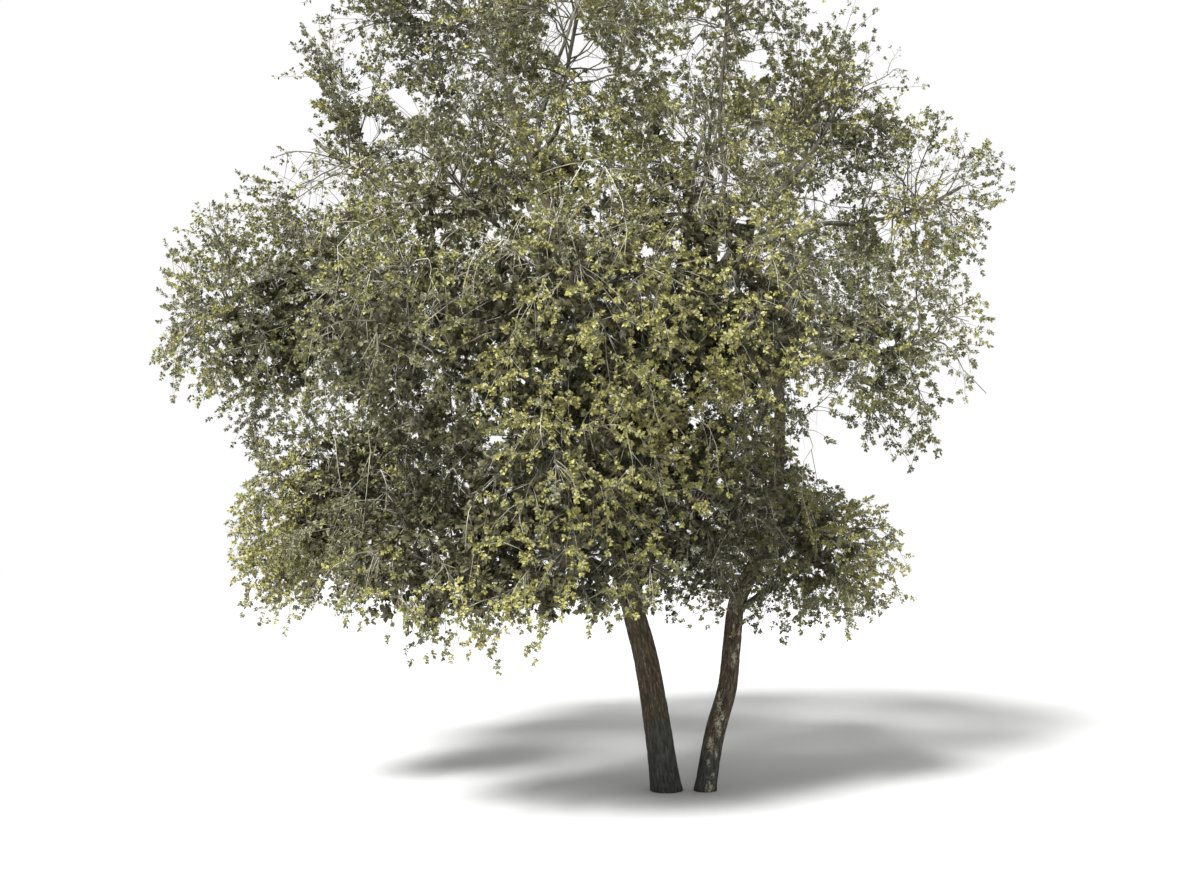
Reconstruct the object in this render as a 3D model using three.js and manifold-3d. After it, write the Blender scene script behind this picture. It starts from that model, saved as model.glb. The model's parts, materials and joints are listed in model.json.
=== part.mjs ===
// A shrub live oak grown into a small tree: two stems of one clump, their boughs, and a crown of leafy
// masses.
//
// Millimetres, +Z up, +X to the right as the tree is seen from the front, +Y away from the viewer.
// The origin is the middle of the flat cut of the main stem, at ground level.
//
// Every limb is one tapering solid along a smooth curve, cut 0.3 mm clear of the limb that carries it.
// Every mass of leaves has a space of its own, an ellipsoid cut flat where it meets its neighbours, so that
// no two masses can touch. In it one stem carries three-sided twigs, and the twigs carry leaf sprays. Each
// spray is a thin six-faced solid that stands for a spray of the real, much smaller leaves.

import * as THREE from "three";
import { mergeVertices } from "three/addons/utils/BufferGeometryUtils.js";
import Module from "manifold-3d";

const wasm = await Module();
wasm.setup();

// Driving dimensions
const SEAT_GAP = 0.3; // between a limb and what carries it, or a mass's stem and its bough
const CROWN_AXIS_X = -560; // the crown stands left of the main stem's foot
const SPACE_MARGIN = 8; // kept free on each side of the plane between two masses
const LIMB_CLEARANCE = 12; // between a limb and the twigs and sprays that pass it
const SPRAY_LENGTH = 440;
const SPRAY_WIDTH = 310;
const SPRAY_THICK = 18;
const STEM_TIP = 12; // radius at the end of a mass's stem
const TWIG_ROOT = 7; // radius where a twig leaves that stem
const TWIG_TIP = 6;

const BARK = { color: 0x4a4136, roughness: 0.95, metalness: 0 };
const TWIG_BARK = { color: 0x6f6552, roughness: 0.95, metalness: 0 };
const FOLIAGE = { color: 0x6f6f38, roughness: 0.75, metalness: 0 };

const TURN = 2 * Math.PI;
const vec = (x, y, z) => new THREE.Vector3(x, y, z);
const between = (a, b, share) => a.clone().lerp(b, share);
const direction = (from, to) => to.clone().sub(from).normalize();
const { clamp, degToRad } = THREE.MathUtils;

// Seeded numbers from 0 to 1, the same on every run
function seeded(seed) {
  let state = seed >>> 0;
  return () => {
    state = (state + 0x6d2b79f5) >>> 0;
    let t = state;
    t = Math.imul(t ^ (t >>> 15), t | 1);
    t ^= t + Math.imul(t ^ (t >>> 7), t | 61);
    return ((t ^ (t >>> 14)) >>> 0) / 4294967296;
  };
}

// Solids

function solidFrom(points, faces) {
  const geometry = new THREE.BufferGeometry();
  const flat = points.flatMap((p) => [p.x, p.y, p.z]);
  geometry.setAttribute("position", new THREE.Float32BufferAttribute(flat, 3));
  geometry.setIndex(faces.flat());
  const merged = mergeVertices(geometry, 1e-3);
  return new wasm.Manifold(
    new wasm.Mesh({
      numProp: 3,
      vertProperties: new Float32Array(merged.attributes.position.array),
      triVerts: new Uint32Array(merged.index.array),
    }),
  );
}

// A tapering limb along a curve. radiusAt(share, out, centre) is its radius at a share of the way, on the
// side that faces out.
function sweep(curve, steps, sides, radiusAt) {
  const frames = curve.computeFrenetFrames(steps, false);
  const points = [];
  const faces = [];
  for (let i = 0; i <= steps; i += 1) {
    const centre = curve.getPointAt(i / steps);
    for (let k = 0; k < sides; k += 1) {
      const angle = (TURN * k) / sides;
      const out = frames.normals[i].clone().multiplyScalar(Math.cos(angle));
      out.addScaledVector(frames.binormals[i], Math.sin(angle));
      points.push(centre.clone().addScaledVector(out, radiusAt(i / steps, out, centre)));
    }
  }
  for (let i = 0; i < steps; i += 1) {
    for (let k = 0; k < sides; k += 1) {
      const a = i * sides + k;
      const b = i * sides + ((k + 1) % sides);
      faces.push([a, b, b + sides], [a, b + sides, a + sides]);
    }
  }
  const top = steps * sides;
  for (let k = 1; k < sides - 1; k += 1) {
    faces.push([0, k + 1, k], [top, top + k, top + k + 1]);
  }
  return solidFrom(points, faces);
}

// The one closed body of a join or a cut: scraps are dropped, and slivers too thin to matter are closed up.
const SLIVER = 0.2;

function largest(solid) {
  return solid.asOriginal().simplify(SLIVER).decompose().sort((a, b) => b.volume() - a.volume())[0];
}

// Limbs

const taper = (foot, tip, power = 0.85) => (share) => foot + (tip - foot) * share ** power;

const limbs = new Map();

// A limb keeps its curve, its radius along it and its solid, and can build itself again a little thicker.
function addLimb(name, curve, radius, steps, sides, flare = () => 0) {
  const build = (extra) =>
    sweep(curve, steps, sides, (share, out, at) => radius(share) * (1 + flare(out, at)) + extra);
  const line = curve.getSpacedPoints(steps).map((point, i) => ({ point, radius: radius(i / steps) }));
  const limb = { name, curve, radius, build, line, solid: build(0) };
  limbs.set(name, limb);
  return limb;
}

// The root flare widens a stem over its lowest hand's breadth, a little all round and most of all towards
// its toes, which are given by their azimuths. The share is how much wider it is at the middle of a toe.
const FLARE_ALL_ROUND = 0.2;

function rootFlare(share, height, toes) {
  const ways = toes.map((azimuth) => degToRad(azimuth));
  return (out, at) => {
    const toe = Math.max(...ways.map((way) => out.dot(vec(Math.cos(way), Math.sin(way), 0))), 0);
    const round = FLARE_ALL_ROUND + (1 - FLARE_ALL_ROUND) * toe ** 2;
    return share * round * Math.exp(-Math.max(at.z, 0) / height);
  };
}

// Stems: waypoints of the axis from just under the ground to the tip, trimmed flat at ground level. The
// second stem's flare meets the main stem's, as in any two stems of one clump, and is cut clear of it.
const STEMS = [
  {
    name: "main_stem",
    path: [[8, 0, -60], [-62, 0, 460], [-128, -5, 840], [-204, 0, 1140], [-304, 10, 1590],
      [-400, 10, 2180], [-505, 40, 2840], [-655, 80, 3530], [-850, 100, 4060], [-1010, 110, 4560]],
    radius: taper(97, 26, 0.8),
    steps: 20,
    sides: 11,
    flare: rootFlare(0.45, 60, [0, 115, 240]),
  },
  {
    name: "second_stem",
    path: [[238, 0, -60], [312, 0, 350], [396, 5, 640], [432, 10, 930], [470, 20, 1190],
      [600, 50, 1450], [712, 80, 1720], [770, 110, 2150], [790, 150, 2640], [850, 200, 3120]],
    radius: taper(67, 22, 1.4),
    steps: 17,
    sides: 9,
    flare: rootFlare(1.15, 50, [180, 50, 310]),
    meets: "main_stem",
  },
];

for (const { name, path, radius, steps, sides, flare, meets } of STEMS) {
  const curve = new THREE.CatmullRomCurve3(path.map((p) => vec(...p)), false, "centripetal");
  const limb = addLimb(name, curve, radius, steps, sides, flare);
  if (meets) {
    limb.solid = limb.solid.subtract(limbs.get(meets).build(SEAT_GAP));
  }
  limb.solid = largest(limb.solid.trimByPlane([0, 0, 1], 0));
}

// Masses of leaves. Each is placed by azimuth (0 to the right, 90 to the back) and reach from the crown's
// axis, and height above the ground. Width, depth and rise are the half sizes of its space. Then comes the
// limb that carries its bough, how far along that limb the bough leaves, and the bough's radius there. Two
// masses sit on a stem's own tip, with no bough.
const MASSES = [
  ["top_left", 170, 960, 5300, 740, 780, 640, "main_stem", 1, 0],
  ["top_middle", 96, 360, 5460, 710, 740, 640, "main_stem", 0.9, 26],
  ["top_right", -2, 1010, 5240, 780, 800, 670, "bough_right_shoulder", 0.6, 24],
  ["top_front", -92, 910, 4450, 800, 710, 690, "main_stem", 0.86, 26],
  ["left_shoulder", 178, 1560, 4120, 740, 800, 760, "main_stem", 0.78, 34],
  ["right_shoulder", 2, 1690, 4420, 710, 800, 740, "main_stem", 0.46, 52],
  ["upper_front_left", -120, 1370, 3560, 740, 710, 690, "main_stem", 0.7, 30],
  ["upper_front_right", -60, 1350, 3560, 760, 710, 690, "bough_right_shoulder", 0.4, 30],
  ["upper_back_left", 122, 1480, 4700, 870, 780, 780, "main_stem", 0.74, 34],
  ["upper_back_right", 52, 1600, 4700, 870, 780, 780, "bough_right_shoulder", 0.5, 32],
  ["far_left", 181, 2290, 3020, 640, 800, 840, "bough_left", 0.6, 30],
  ["left", 180, 1630, 3300, 600, 870, 710, "main_stem", 0.5, 46],
  ["front_left", -122, 1710, 2620, 710, 690, 640, "main_stem", 0.54, 32],
  ["front", -90, 1800, 2760, 710, 640, 640, "main_stem", 0.6, 32],
  ["front_right", -56, 1630, 2840, 690, 670, 670, "second_stem", 0.82, 26],
  ["far_right", 3, 2390, 3860, 600, 740, 710, "bough_right_shoulder", 0.7, 28],
  ["right_hanging", -4, 2140, 2820, 600, 760, 710, "second_stem", 0.88, 26],
  ["back_left", 140, 2180, 3440, 830, 780, 800, "main_stem", 0.58, 36],
  ["back", 94, 1860, 3640, 830, 760, 800, "main_stem", 0.66, 34],
  ["back_right", 42, 2150, 3500, 830, 780, 780, "second_stem", 1, 0],
  ["skirt_left", -170, 1600, 1780, 600, 760, 590, "main_stem", 0.34, 34],
  ["skirt_front_left", -122, 1480, 1420, 670, 670, 580, "main_stem", 0.3, 28],
  ["skirt_front", -92, 1440, 1420, 600, 620, 550, "main_stem", 0.36, 28],
  ["front_hanging", -92, 1690, 1960, 640, 550, 530, "main_stem", 0.42, 28],
  ["skirt_front_right", -58, 1240, 1800, 600, 600, 560, "second_stem", 0.36, 22],
  ["skirt_right", -6, 1570, 1500, 540, 740, 540, "second_stem", 0.36, 26],
  ["skirt_back_right", 38, 1750, 1940, 640, 670, 580, "second_stem", 0.64, 24],
  ["skirt_back", 90, 1540, 1960, 780, 670, 620, "main_stem", 0.4, 32],
  ["skirt_back_left", 138, 1770, 2080, 710, 670, 620, "main_stem", 0.46, 30],
].map(([name, azimuth, reach, height, width, depth, rise, parent, leaves, girth], index) => {
  const way = degToRad(azimuth);
  const centre = vec(CROWN_AXIS_X + reach * Math.cos(way), reach * Math.sin(way), height);
  return { name, centre, half: vec(width, depth, rise), parent, leaves, girth, seed: 101 + 17 * index };
});

// The plane between two masses divides the way between their centres as their sizes do.
for (const mass of MASSES) {
  const others = MASSES.filter((other) => other !== mass);
  mass.planes = others.map((other) => {
    const way = direction(mass.centre, other.centre);
    const mine = 1 / way.clone().divide(mass.half).length();
    const theirs = 1 / way.clone().divide(other.half).length();
    const whole = mass.centre.distanceTo(other.centre);
    return { way, reach: (whole * mine) / (mine + theirs) - SPACE_MARGIN };
  });
}

function inSpace(mass, point) {
  const from = point.clone().sub(mass.centre);
  const round = from.clone().divide(mass.half).length() <= 1;
  return round && mass.planes.every((plane) => from.dot(plane.way) <= plane.reach);
}

// How far a mass's space reaches from its centre along a direction
function spaceReach(mass, along) {
  const round = 1 / along.clone().divide(mass.half).length();
  const walls = mass.planes.map((plane) => plane.reach / Math.max(along.dot(plane.way), 1e-6));
  return Math.min(round, ...walls);
}

// Boughs

const BOUGH_END = 0.62; // where a bough ends, as a share of the way from its mass's middle to the edge
const BOUGH_TIP = 0.42; // tip radius as a share of the radius where it leaves
const BOUGH_TIP_LEAST = 11;
const BOUGH_FOLLOW = 0.5; // how much a bough first goes on along the limb that carries it
const BOUGH_DROOP = 0.12; // how much its end turns down
const BOUGH_SWAY = 0.035; // how crooked it is, as a share of its length
const BOUGH_BENDS = 6; // stretches between the waypoints of its sway
const BOUGH_STEP = 260; // length of one ring of faces

function boughCurve(mass, parent) {
  const foot = parent.curve.getPointAt(mass.leaves);
  const along = parent.curve.getTangentAt(mass.leaves);
  const back = direction(mass.centre, foot);
  const tip = mass.centre.clone().addScaledVector(back, BOUGH_END * spaceReach(mass, back));
  const run = foot.distanceTo(tip);
  const out = direction(foot, tip);
  const first = out.clone().multiplyScalar(0.75).addScaledVector(along, BOUGH_FOLLOW).normalize();
  const last = out.clone().addScaledVector(vec(0, 0, -1), BOUGH_DROOP).normalize();
  const arc = new THREE.CubicBezierCurve3(
    foot,
    foot.clone().addScaledVector(first, run * 0.36),
    tip.clone().addScaledVector(last, -run * 0.34),
    tip,
  );
  const random = seeded(mass.seed + 7);
  const side = out.clone().cross(vec(0, 0, 1)).normalize();
  const phase = random() * TURN;
  const waves = 1.5 + random();
  const points = [];
  for (let i = 0; i <= BOUGH_BENDS; i += 1) {
    const share = i / BOUGH_BENDS;
    const sway = BOUGH_SWAY * run * Math.sin(Math.PI * share);
    const point = arc.getPoint(share);
    point.addScaledVector(side, sway * Math.sin(phase + waves * TURN * share));
    point.z += 0.6 * sway * Math.cos(phase + waves * TURN * share);
    points.push(point);
  }
  return new THREE.CatmullRomCurve3(points, false, "centripetal");
}

function addBough(mass) {
  const parent = limbs.get(mass.parent);
  if (mass.girth === 0) {
    return parent;
  }
  const curve = boughCurve(mass, parent);
  const radius = taper(mass.girth, Math.max(mass.girth * BOUGH_TIP, BOUGH_TIP_LEAST));
  const steps = Math.max(5, Math.round(curve.getLength() / BOUGH_STEP));
  const sides = 4 + Math.round(mass.girth / 20);
  const limb = addLimb("bough_" + mass.name, curve, radius, steps, sides);
  limb.solid = largest(limb.solid.subtract(parent.build(SEAT_GAP)));
  return limb;
}

// Boughs that carry other boughs are made first.
const waiting = [...MASSES];
while (waiting.length) {
  const ready = waiting.findIndex((mass) => limbs.has(mass.parent));
  if (ready < 0) {
    throw new Error("no limb is named " + waiting.map((mass) => mass.parent).join(", "));
  }
  const [mass] = waiting.splice(ready, 1);
  mass.limb = addBough(mass);
}

// The closest distance between the segments a-b and p-q
function segmentGap(a, b, p, q) {
  const u = b.clone().sub(a);
  const v = q.clone().sub(p);
  const w = a.clone().sub(p);
  const uu = u.dot(u);
  const uv = u.dot(v);
  const vv = v.dot(v);
  const square = Math.max(uu * vv - uv * uv, 1e-9);
  let s = clamp((uv * v.dot(w) - vv * u.dot(w)) / square, 0, 1);
  const t = clamp((uv * s + v.dot(w)) / vv, 0, 1);
  s = clamp((uv * t - u.dot(w)) / uu, 0, 1);
  return between(a, b, s).distanceTo(between(p, q, t));
}

function clearOfLimbs(a, b, thick) {
  return [...limbs.values()].every(({ line }) =>
    line.slice(1).every((next, i) => {
      const room = thick + line[i].radius + LIMB_CLEARANCE;
      return segmentGap(a, b, line[i].point, next.point) >= room;
    }),
  );
}

// Twigs and sprays

const SPRAY_WIDEST = 0.5; // where a spray is widest, as a share of its length
const TWIG_ARCH = 0.06; // how far a twig's middle rises, as a share of its length
const TWIGS = 14; // that a mass starts with, before those that don't fit are left out
const SIDE_SPRAYS = [0.42, 0.66, 0.92]; // where the side sprays leave a twig
const SIDE_LEAN = 0.5; // how much a side spray leans along its twig
const OPEN_SHARE = 0.62; // no twig goes where a neighbour cuts the space shorter than this
const CROWN_FILL = 0.97; // how much of its space a mass reaches through
const TRIES = 10; // turns that a side spray tries before it is left out

// Directions spread evenly over a sphere, turned by an angle
function evenDirections(count, turn) {
  const golden = Math.PI * (3 - Math.sqrt(5));
  return Array.from({ length: count }, (_, i) => {
    const z = 1 - (2 * i + 1) / count;
    const ring = Math.sqrt(1 - z * z);
    return vec(ring * Math.cos(golden * i + turn), ring * Math.sin(golden * i + turn), z);
  });
}

// The point at a share of the way through a row of points
function pointOn(path, share) {
  const place = share * (path.length - 1);
  const before = Math.min(Math.floor(place), path.length - 2);
  return between(path[before], path[before + 1], place - before);
}

// The three corners of a spray where it is widest: one on each side and one on its back
function widestCorners(root, tip, flat) {
  const along = direction(root, tip);
  const side = along.clone().cross(flat).normalize();
  const back = side.clone().cross(along).normalize();
  const widest = between(root, tip, SPRAY_WIDEST);
  return [
    widest.clone().addScaledVector(side, SPRAY_WIDTH / 2),
    widest.clone().addScaledVector(back, SPRAY_THICK),
    widest.clone().addScaledVector(side, -SPRAY_WIDTH / 2),
  ];
}

// The six faces between one ring of three corners and the next
function bandFaces(ring) {
  return [0, 1, 2].flatMap((k) => {
    const a = 3 * ring + k;
    const b = 3 * ring + ((k + 1) % 3);
    return [[a, b + 3, b], [a, a + 3, b + 3]];
  });
}

// A twig along three points that widens into the spray at its end, all one solid
function twigWithSpray(path, tip, flat) {
  const [foot, middle, end] = path;
  const corners = widestCorners(end, tip, flat);
  const heart = corners.reduce((sum, corner) => sum.add(corner), vec(0, 0, 0)).divideScalar(3);
  const ways = [direction(foot, middle), direction(foot, end), direction(middle, end)];
  const rings = path.flatMap((centre, i) => corners.map((corner) => {
    const out = corner.clone().sub(heart);
    out.addScaledVector(ways[i], -out.dot(ways[i])).normalize();
    return centre.clone().addScaledVector(out, taper(TWIG_ROOT, TWIG_TIP)(i / 2));
  }));
  const faces = [[0, 1, 2], ...[0, 1, 2].flatMap(bandFaces), [9, 12, 10], [10, 12, 11], [11, 12, 9]];
  return { corners: [...corners, tip], solid: solidFrom([...rings, ...corners, tip], faces) };
}

// A spray by itself, from its root inside a twig to its tip
function sideSpray(root, tip, flat) {
  const corners = widestCorners(root, tip, flat);
  const faces = [[4, 1, 0], [4, 2, 1], [4, 0, 2], [3, 0, 1], [3, 1, 2], [3, 2, 0]];
  return { corners: [...corners, tip], solid: solidFrom([...corners, root, tip], faces) };
}

const STEM_LIFT = 0.35; // how much the stem of a mass turns up on its way through the space
const STEM_REACH = 0.4; // how far past the middle it goes, as a share of the space there
const STEM_STEP = 260;

function massStem(mass) {
  const onward = mass.limb.curve.getTangentAt(1);
  const start = mass.limb.curve.getPointAt(1).addScaledVector(onward, SEAT_GAP);
  const outward = direction(start, mass.centre).add(vec(0, 0, STEM_LIFT)).normalize();
  const end = mass.centre.clone().addScaledVector(outward, STEM_REACH * spaceReach(mass, outward));
  const bend = start.clone().addScaledVector(onward, start.distanceTo(end) / 2);
  return new THREE.QuadraticBezierCurve3(start, bend, end);
}

// The twig towards one side of the space leaves the stem somewhat before the point level with its tip.
const TWIG_LAG = 0.45; // how much before, as a share of the stem
const FIRST_TWIG = 0.15;
const LAST_TWIG = 0.95;

function twigPath(stem, stemPath, tip) {
  const stemWay = stem.v2.clone().sub(stem.v0);
  const level = tip.clone().sub(stem.v0).dot(stemWay) / stemWay.lengthSq();
  const foot = pointOn(stemPath, clamp(level - TWIG_LAG, FIRST_TWIG, LAST_TWIG));
  const end = between(tip, foot, SPRAY_LENGTH / foot.distanceTo(tip));
  const middle = between(foot, end, 0.5);
  middle.z += TWIG_ARCH * foot.distanceTo(end);
  return [foot, middle, end];
}

function leafMass(mass) {
  const random = seeded(mass.seed);
  const anyTurn = (lift) => vec(random() - 0.5, random() - 0.5, lift);
  const stem = massStem(mass);
  const stemSteps = Math.max(3, Math.round(stem.getLength() / STEM_STEP));
  const stemPath = stem.getSpacedPoints(stemSteps);
  const parts = [sweep(stem, stemSteps, 4, taper(mass.limb.radius(1), STEM_TIP))];
  const sprays = [];

  // A spray is kept where it lies in the space, clear of every limb and of all but the twig it leaves.
  const keep = (spray, root, tip, own) => {
    const inside = spray.corners.every((corner) => inSpace(mass, corner));
    if (!inside || !clearOfLimbs(root, tip, SPRAY_WIDTH / 2)) {
      return false;
    }
    if (sprays.some((other) => other !== own && !other.intersect(spray.solid).isEmpty())) {
      return false;
    }
    parts.push(spray.solid);
    sprays.push(spray.solid);
    return true;
  };

  const twigs = [];
  for (const heading of evenDirections(TWIGS, random() * TURN)) {
    const reach = spaceReach(mass, heading);
    if (reach * heading.clone().divide(mass.half).length() < OPEN_SHARE) {
      continue;
    }
    const tip = mass.centre.clone().addScaledVector(heading, reach * CROWN_FILL);
    const path = twigPath(stem, stemPath, tip);
    const [foot, , end] = path;
    const spray = twigWithSpray(path, tip, anyTurn(1).addScaledVector(heading, 0.2));
    if (clearOfLimbs(between(foot, end, 0.2), end, TWIG_ROOT) && keep(spray, end, tip, null)) {
      twigs.push({ path, solid: spray.solid });
    }
  }
  for (const { path, solid } of twigs) {
    const ahead = direction(path[0], path[2]);
    let hand = random() < 0.5 ? -1 : 1;
    for (const share of SIDE_SPRAYS) {
      hand = -hand;
      const root = pointOn(path, share);
      const length = SPRAY_LENGTH * (0.85 + 0.3 * random());
      for (let tried = 0; tried < TRIES; tried += 1) {
        const side = ahead.clone().cross(anyTurn(0.8)).normalize();
        const way = ahead.clone().multiplyScalar(SIDE_LEAN).addScaledVector(side, hand).normalize();
        const tip = root.clone().addScaledVector(way, length);
        const flat = way.clone().cross(ahead).multiplyScalar(hand);
        if (keep(sideSpray(root, tip, flat), root, tip, solid)) {
          break;
        }
      }
    }
  }
  return largest(wasm.Manifold.union(parts));
}

// The tree

function meshOf(name, solid, finish) {
  const { numProp, vertProperties, triVerts } = solid.getMesh();
  const geometry = new THREE.BufferGeometry();
  const points = new Float32Array((vertProperties.length / numProp) * 3);
  for (let i = 0; i < points.length / 3; i += 1) {
    points.set(vertProperties.subarray(i * numProp, i * numProp + 3), i * 3);
  }
  geometry.setAttribute("position", new THREE.BufferAttribute(points, 3));
  geometry.setIndex(new THREE.BufferAttribute(triVerts, 1));
  geometry.computeVertexNormals();
  const mesh = new THREE.Mesh(geometry, new THREE.MeshStandardMaterial(finish));
  mesh.name = name;
  return mesh;
}

const tree = new THREE.Group();
tree.name = "shrub_live_oak";
for (const { name, solid } of limbs.values()) {
  tree.add(meshOf(name, solid, name.endsWith("_stem") ? BARK : TWIG_BARK));
}
for (const mass of MASSES) {
  tree.add(meshOf("leaves_" + mass.name, leafMass(mass), FOLIAGE));
}

export default tree;
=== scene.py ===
# A shrub live oak grown into a small tree: two leaning stems of one clump, their crooked boughs, and a
# broad crown of fine twigs and small stiff leaves. Metres, +Z up, +Y away from the viewer. The origin is
# on the ground, in the middle of the main stem's flat cut.

import json
import math
from types import SimpleNamespace

import bpy
import numpy as np
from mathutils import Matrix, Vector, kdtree, noise

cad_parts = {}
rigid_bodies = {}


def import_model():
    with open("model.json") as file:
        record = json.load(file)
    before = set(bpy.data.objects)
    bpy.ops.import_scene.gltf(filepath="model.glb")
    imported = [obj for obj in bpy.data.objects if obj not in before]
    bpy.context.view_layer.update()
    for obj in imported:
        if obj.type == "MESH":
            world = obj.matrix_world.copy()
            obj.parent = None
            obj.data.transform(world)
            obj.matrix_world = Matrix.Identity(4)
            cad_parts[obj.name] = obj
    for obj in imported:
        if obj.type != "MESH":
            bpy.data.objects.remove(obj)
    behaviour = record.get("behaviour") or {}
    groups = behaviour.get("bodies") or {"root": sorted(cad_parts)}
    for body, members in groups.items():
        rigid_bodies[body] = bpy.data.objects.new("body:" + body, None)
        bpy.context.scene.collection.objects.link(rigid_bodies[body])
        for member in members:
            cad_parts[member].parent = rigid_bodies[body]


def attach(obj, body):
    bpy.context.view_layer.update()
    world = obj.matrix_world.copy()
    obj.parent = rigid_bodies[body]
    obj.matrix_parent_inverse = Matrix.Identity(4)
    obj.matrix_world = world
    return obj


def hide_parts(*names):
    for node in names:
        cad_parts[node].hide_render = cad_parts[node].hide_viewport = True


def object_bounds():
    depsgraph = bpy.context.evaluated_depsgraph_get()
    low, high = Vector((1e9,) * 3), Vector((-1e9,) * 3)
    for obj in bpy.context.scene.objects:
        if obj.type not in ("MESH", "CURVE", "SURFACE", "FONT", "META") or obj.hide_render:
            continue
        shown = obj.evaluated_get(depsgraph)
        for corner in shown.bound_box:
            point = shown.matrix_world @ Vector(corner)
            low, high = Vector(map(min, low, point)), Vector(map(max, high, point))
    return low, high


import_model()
cad_low, cad_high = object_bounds()
bpy.ops.object.select_all(action="DESELECT")

# The viewer
# Someone standing on level ground, a little left of the stems and looking slightly up. The focal length
# is in pixels of the photograph's width, and the crown's top runs out of the picture as it does there.
EYE = (-0.437, -7.7, 1.41)
LOOK_UP = 5.8
FOCAL_PIXELS = 1180
PHOTO_WIDTH = 1195
SENSOR = 36

bpy.ops.object.camera_add(location=EYE, rotation=(math.radians(90 + LOOK_UP), 0, 0))
viewer = bpy.context.object
viewer.data.sensor_width = SENSOR
viewer.data.lens = SENSOR * FOCAL_PIXELS / PHOTO_WIDTH
bpy.context.scene.camera = viewer
bpy.context.scene.view_settings.view_transform = "Standard"

# Main stem
# The thicker of the clump's two stems. It leans left from the ground to the crown's upper left. Its bark is
# closely furrowed, nearly black up to knee height and brown above. It stands on a flat cut at the ground.
TURN = 2 * math.pi


def unit(vector):
    return vector / np.linalg.norm(vector)


class Line:
    """A curve that is walked by its share of the whole length."""

    DIVISIONS = 200
    NUDGE = 1e-4

    def __init__(self, place):
        self.place = place
        self.steps = np.linspace(0, 1, self.DIVISIONS + 1)
        points = np.array([place(step) for step in self.steps])
        runs = np.linalg.norm(np.diff(points, axis=0), axis=1)
        self.reached = np.concatenate([[0], np.cumsum(runs)])
        self.length = self.reached[-1]

    def step_at(self, share):
        return np.interp(share * self.length, self.reached, self.steps)

    def at(self, share):
        return self.place(self.step_at(share))

    def heading(self, share):
        step = self.step_at(share)
        return unit(self.place(min(step + self.NUDGE, 1)) - self.place(max(step - self.NUDGE, 0)))


def smooth_line(waypoints):
    """A smooth curve through waypoints: a centripetal Catmull-Rom spline, as in the part's source."""
    points = np.array(waypoints, float)
    row = np.vstack([2 * points[0] - points[1], points, 2 * points[-1] - points[-2]])
    stretches = len(points) - 1

    def place(step):
        stretch = min(int(step * stretches), stretches - 1)
        s = step * stretches - stretch
        a, b, c, d = row[stretch : stretch + 4]
        ab, bc, cd = (np.linalg.norm(q - p) ** 0.5 for p, q in ((a, b), (b, c), (c, d)))
        leave = ((b - a) / ab - (c - a) / (ab + bc) + (c - b) / bc) * bc
        arrive = ((c - b) / bc - (d - b) / (bc + cd) + (d - c) / cd) * bc
        square = 3 * (c - b) - 2 * leave - arrive
        cube = 2 * (b - c) + leave + arrive
        return b + leave * s + square * s**2 + cube * s**3

    return Line(place)


def taper(foot, tip, power=0.85):
    return lambda share: foot + (tip - foot) * share**power


FLARE_ALL_ROUND = 0.35


def root_flare(share, height, toes):
    """How much a stem widens over its lowest hand's breadth, most of all towards its toes (azimuths)."""
    ways = [np.array([math.cos(math.radians(toe)), math.sin(math.radians(toe)), 0]) for toe in toes]

    def wider(out, at):
        toe = np.max([out @ way for way in ways] + [np.zeros(len(out))], axis=0)
        all_round = FLARE_ALL_ROUND + (1 - FLARE_ALL_ROUND) * toe**2
        return share * all_round * np.exp(-np.maximum(at[:, 2], 0) / height)

    return wider


FURROWS = (52, 9)  # bark furrows in a metre, round the limb and along it
FURROW_DEPTH = 0.055  # as a share of the limb's radius
FURROW_EDGE = 3.4  # how steep a furrow's walls are
WANDERS = (8, 5)  # how often in a metre a furrow runs out of line, round the limb and along it
WANDER_SIZE = 0.7  # how far, in furrows
CRACKS = (1.9, 3)  # how much closer the fine cracks are than the furrows, round the limb and along it
FURROW_SHARE = 0.7  # how much of the depth is the furrows'
CRACK_SHARE = 0.3  # and how much the cracks'
SUNKEN = 0.8  # how much of the depth lies under the limb's own radius
CRUMBS = (120, 72)  # small roughness in a metre, round the limb and along it
CRUMB_SIZE = 0.16  # as a share of the furrows' depth
LUMPS = 4.5  # slow swellings in a metre
LUMPS_START = 3
LUMP_SIZE = 0.03  # as a share of the limb's radius


def bark_relief(place, radius):
    """How far the bark stands out at a place on the straightened limb: flat ridges between furrows."""
    x, y, z = place
    wander = WANDER_SIZE * noise.noise((WANDERS[0] * x, WANDERS[0] * y, WANDERS[1] * z))
    round_limb, along_limb = FURROWS
    ridge = abs(noise.noise((round_limb * x + wander, round_limb * y, along_limb * z)))
    cracks_round = CRACKS[0] * round_limb
    crack = abs(noise.noise((cracks_round * x, cracks_round * y + wander, CRACKS[1] * along_limb * z)))
    crumbs = noise.noise((CRUMBS[0] * x, CRUMBS[0] * y, CRUMBS[1] * z))
    lumps = noise.noise((LUMPS * x, LUMPS * y + LUMPS_START, LUMPS * z))
    furrowed = FURROW_SHARE * min(1, FURROW_EDGE * ridge) + CRACK_SHARE * min(1, FURROW_EDGE * crack)
    return radius * (FURROW_DEPTH * (furrowed - SUNKEN + CRUMB_SIZE * crumbs) + LUMP_SIZE * lumps)


def carried_frames(line, shares):
    """A limb's centres, and two directions across it that turn with its line and don't twist."""
    centres = np.array([line.at(share) for share in shares])
    ways = np.array([line.heading(share) for share in shares])
    first = unit(np.cross(ways[0], (0.0, 1.0, 0.0)))
    across = []
    for way in ways:
        first = unit(first - way * (first @ way))
        across.append(first)
    across = np.array(across)
    return centres, across, np.cross(ways, across)


SEAM = 1e-5  # corners as near as this are joined


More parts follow.
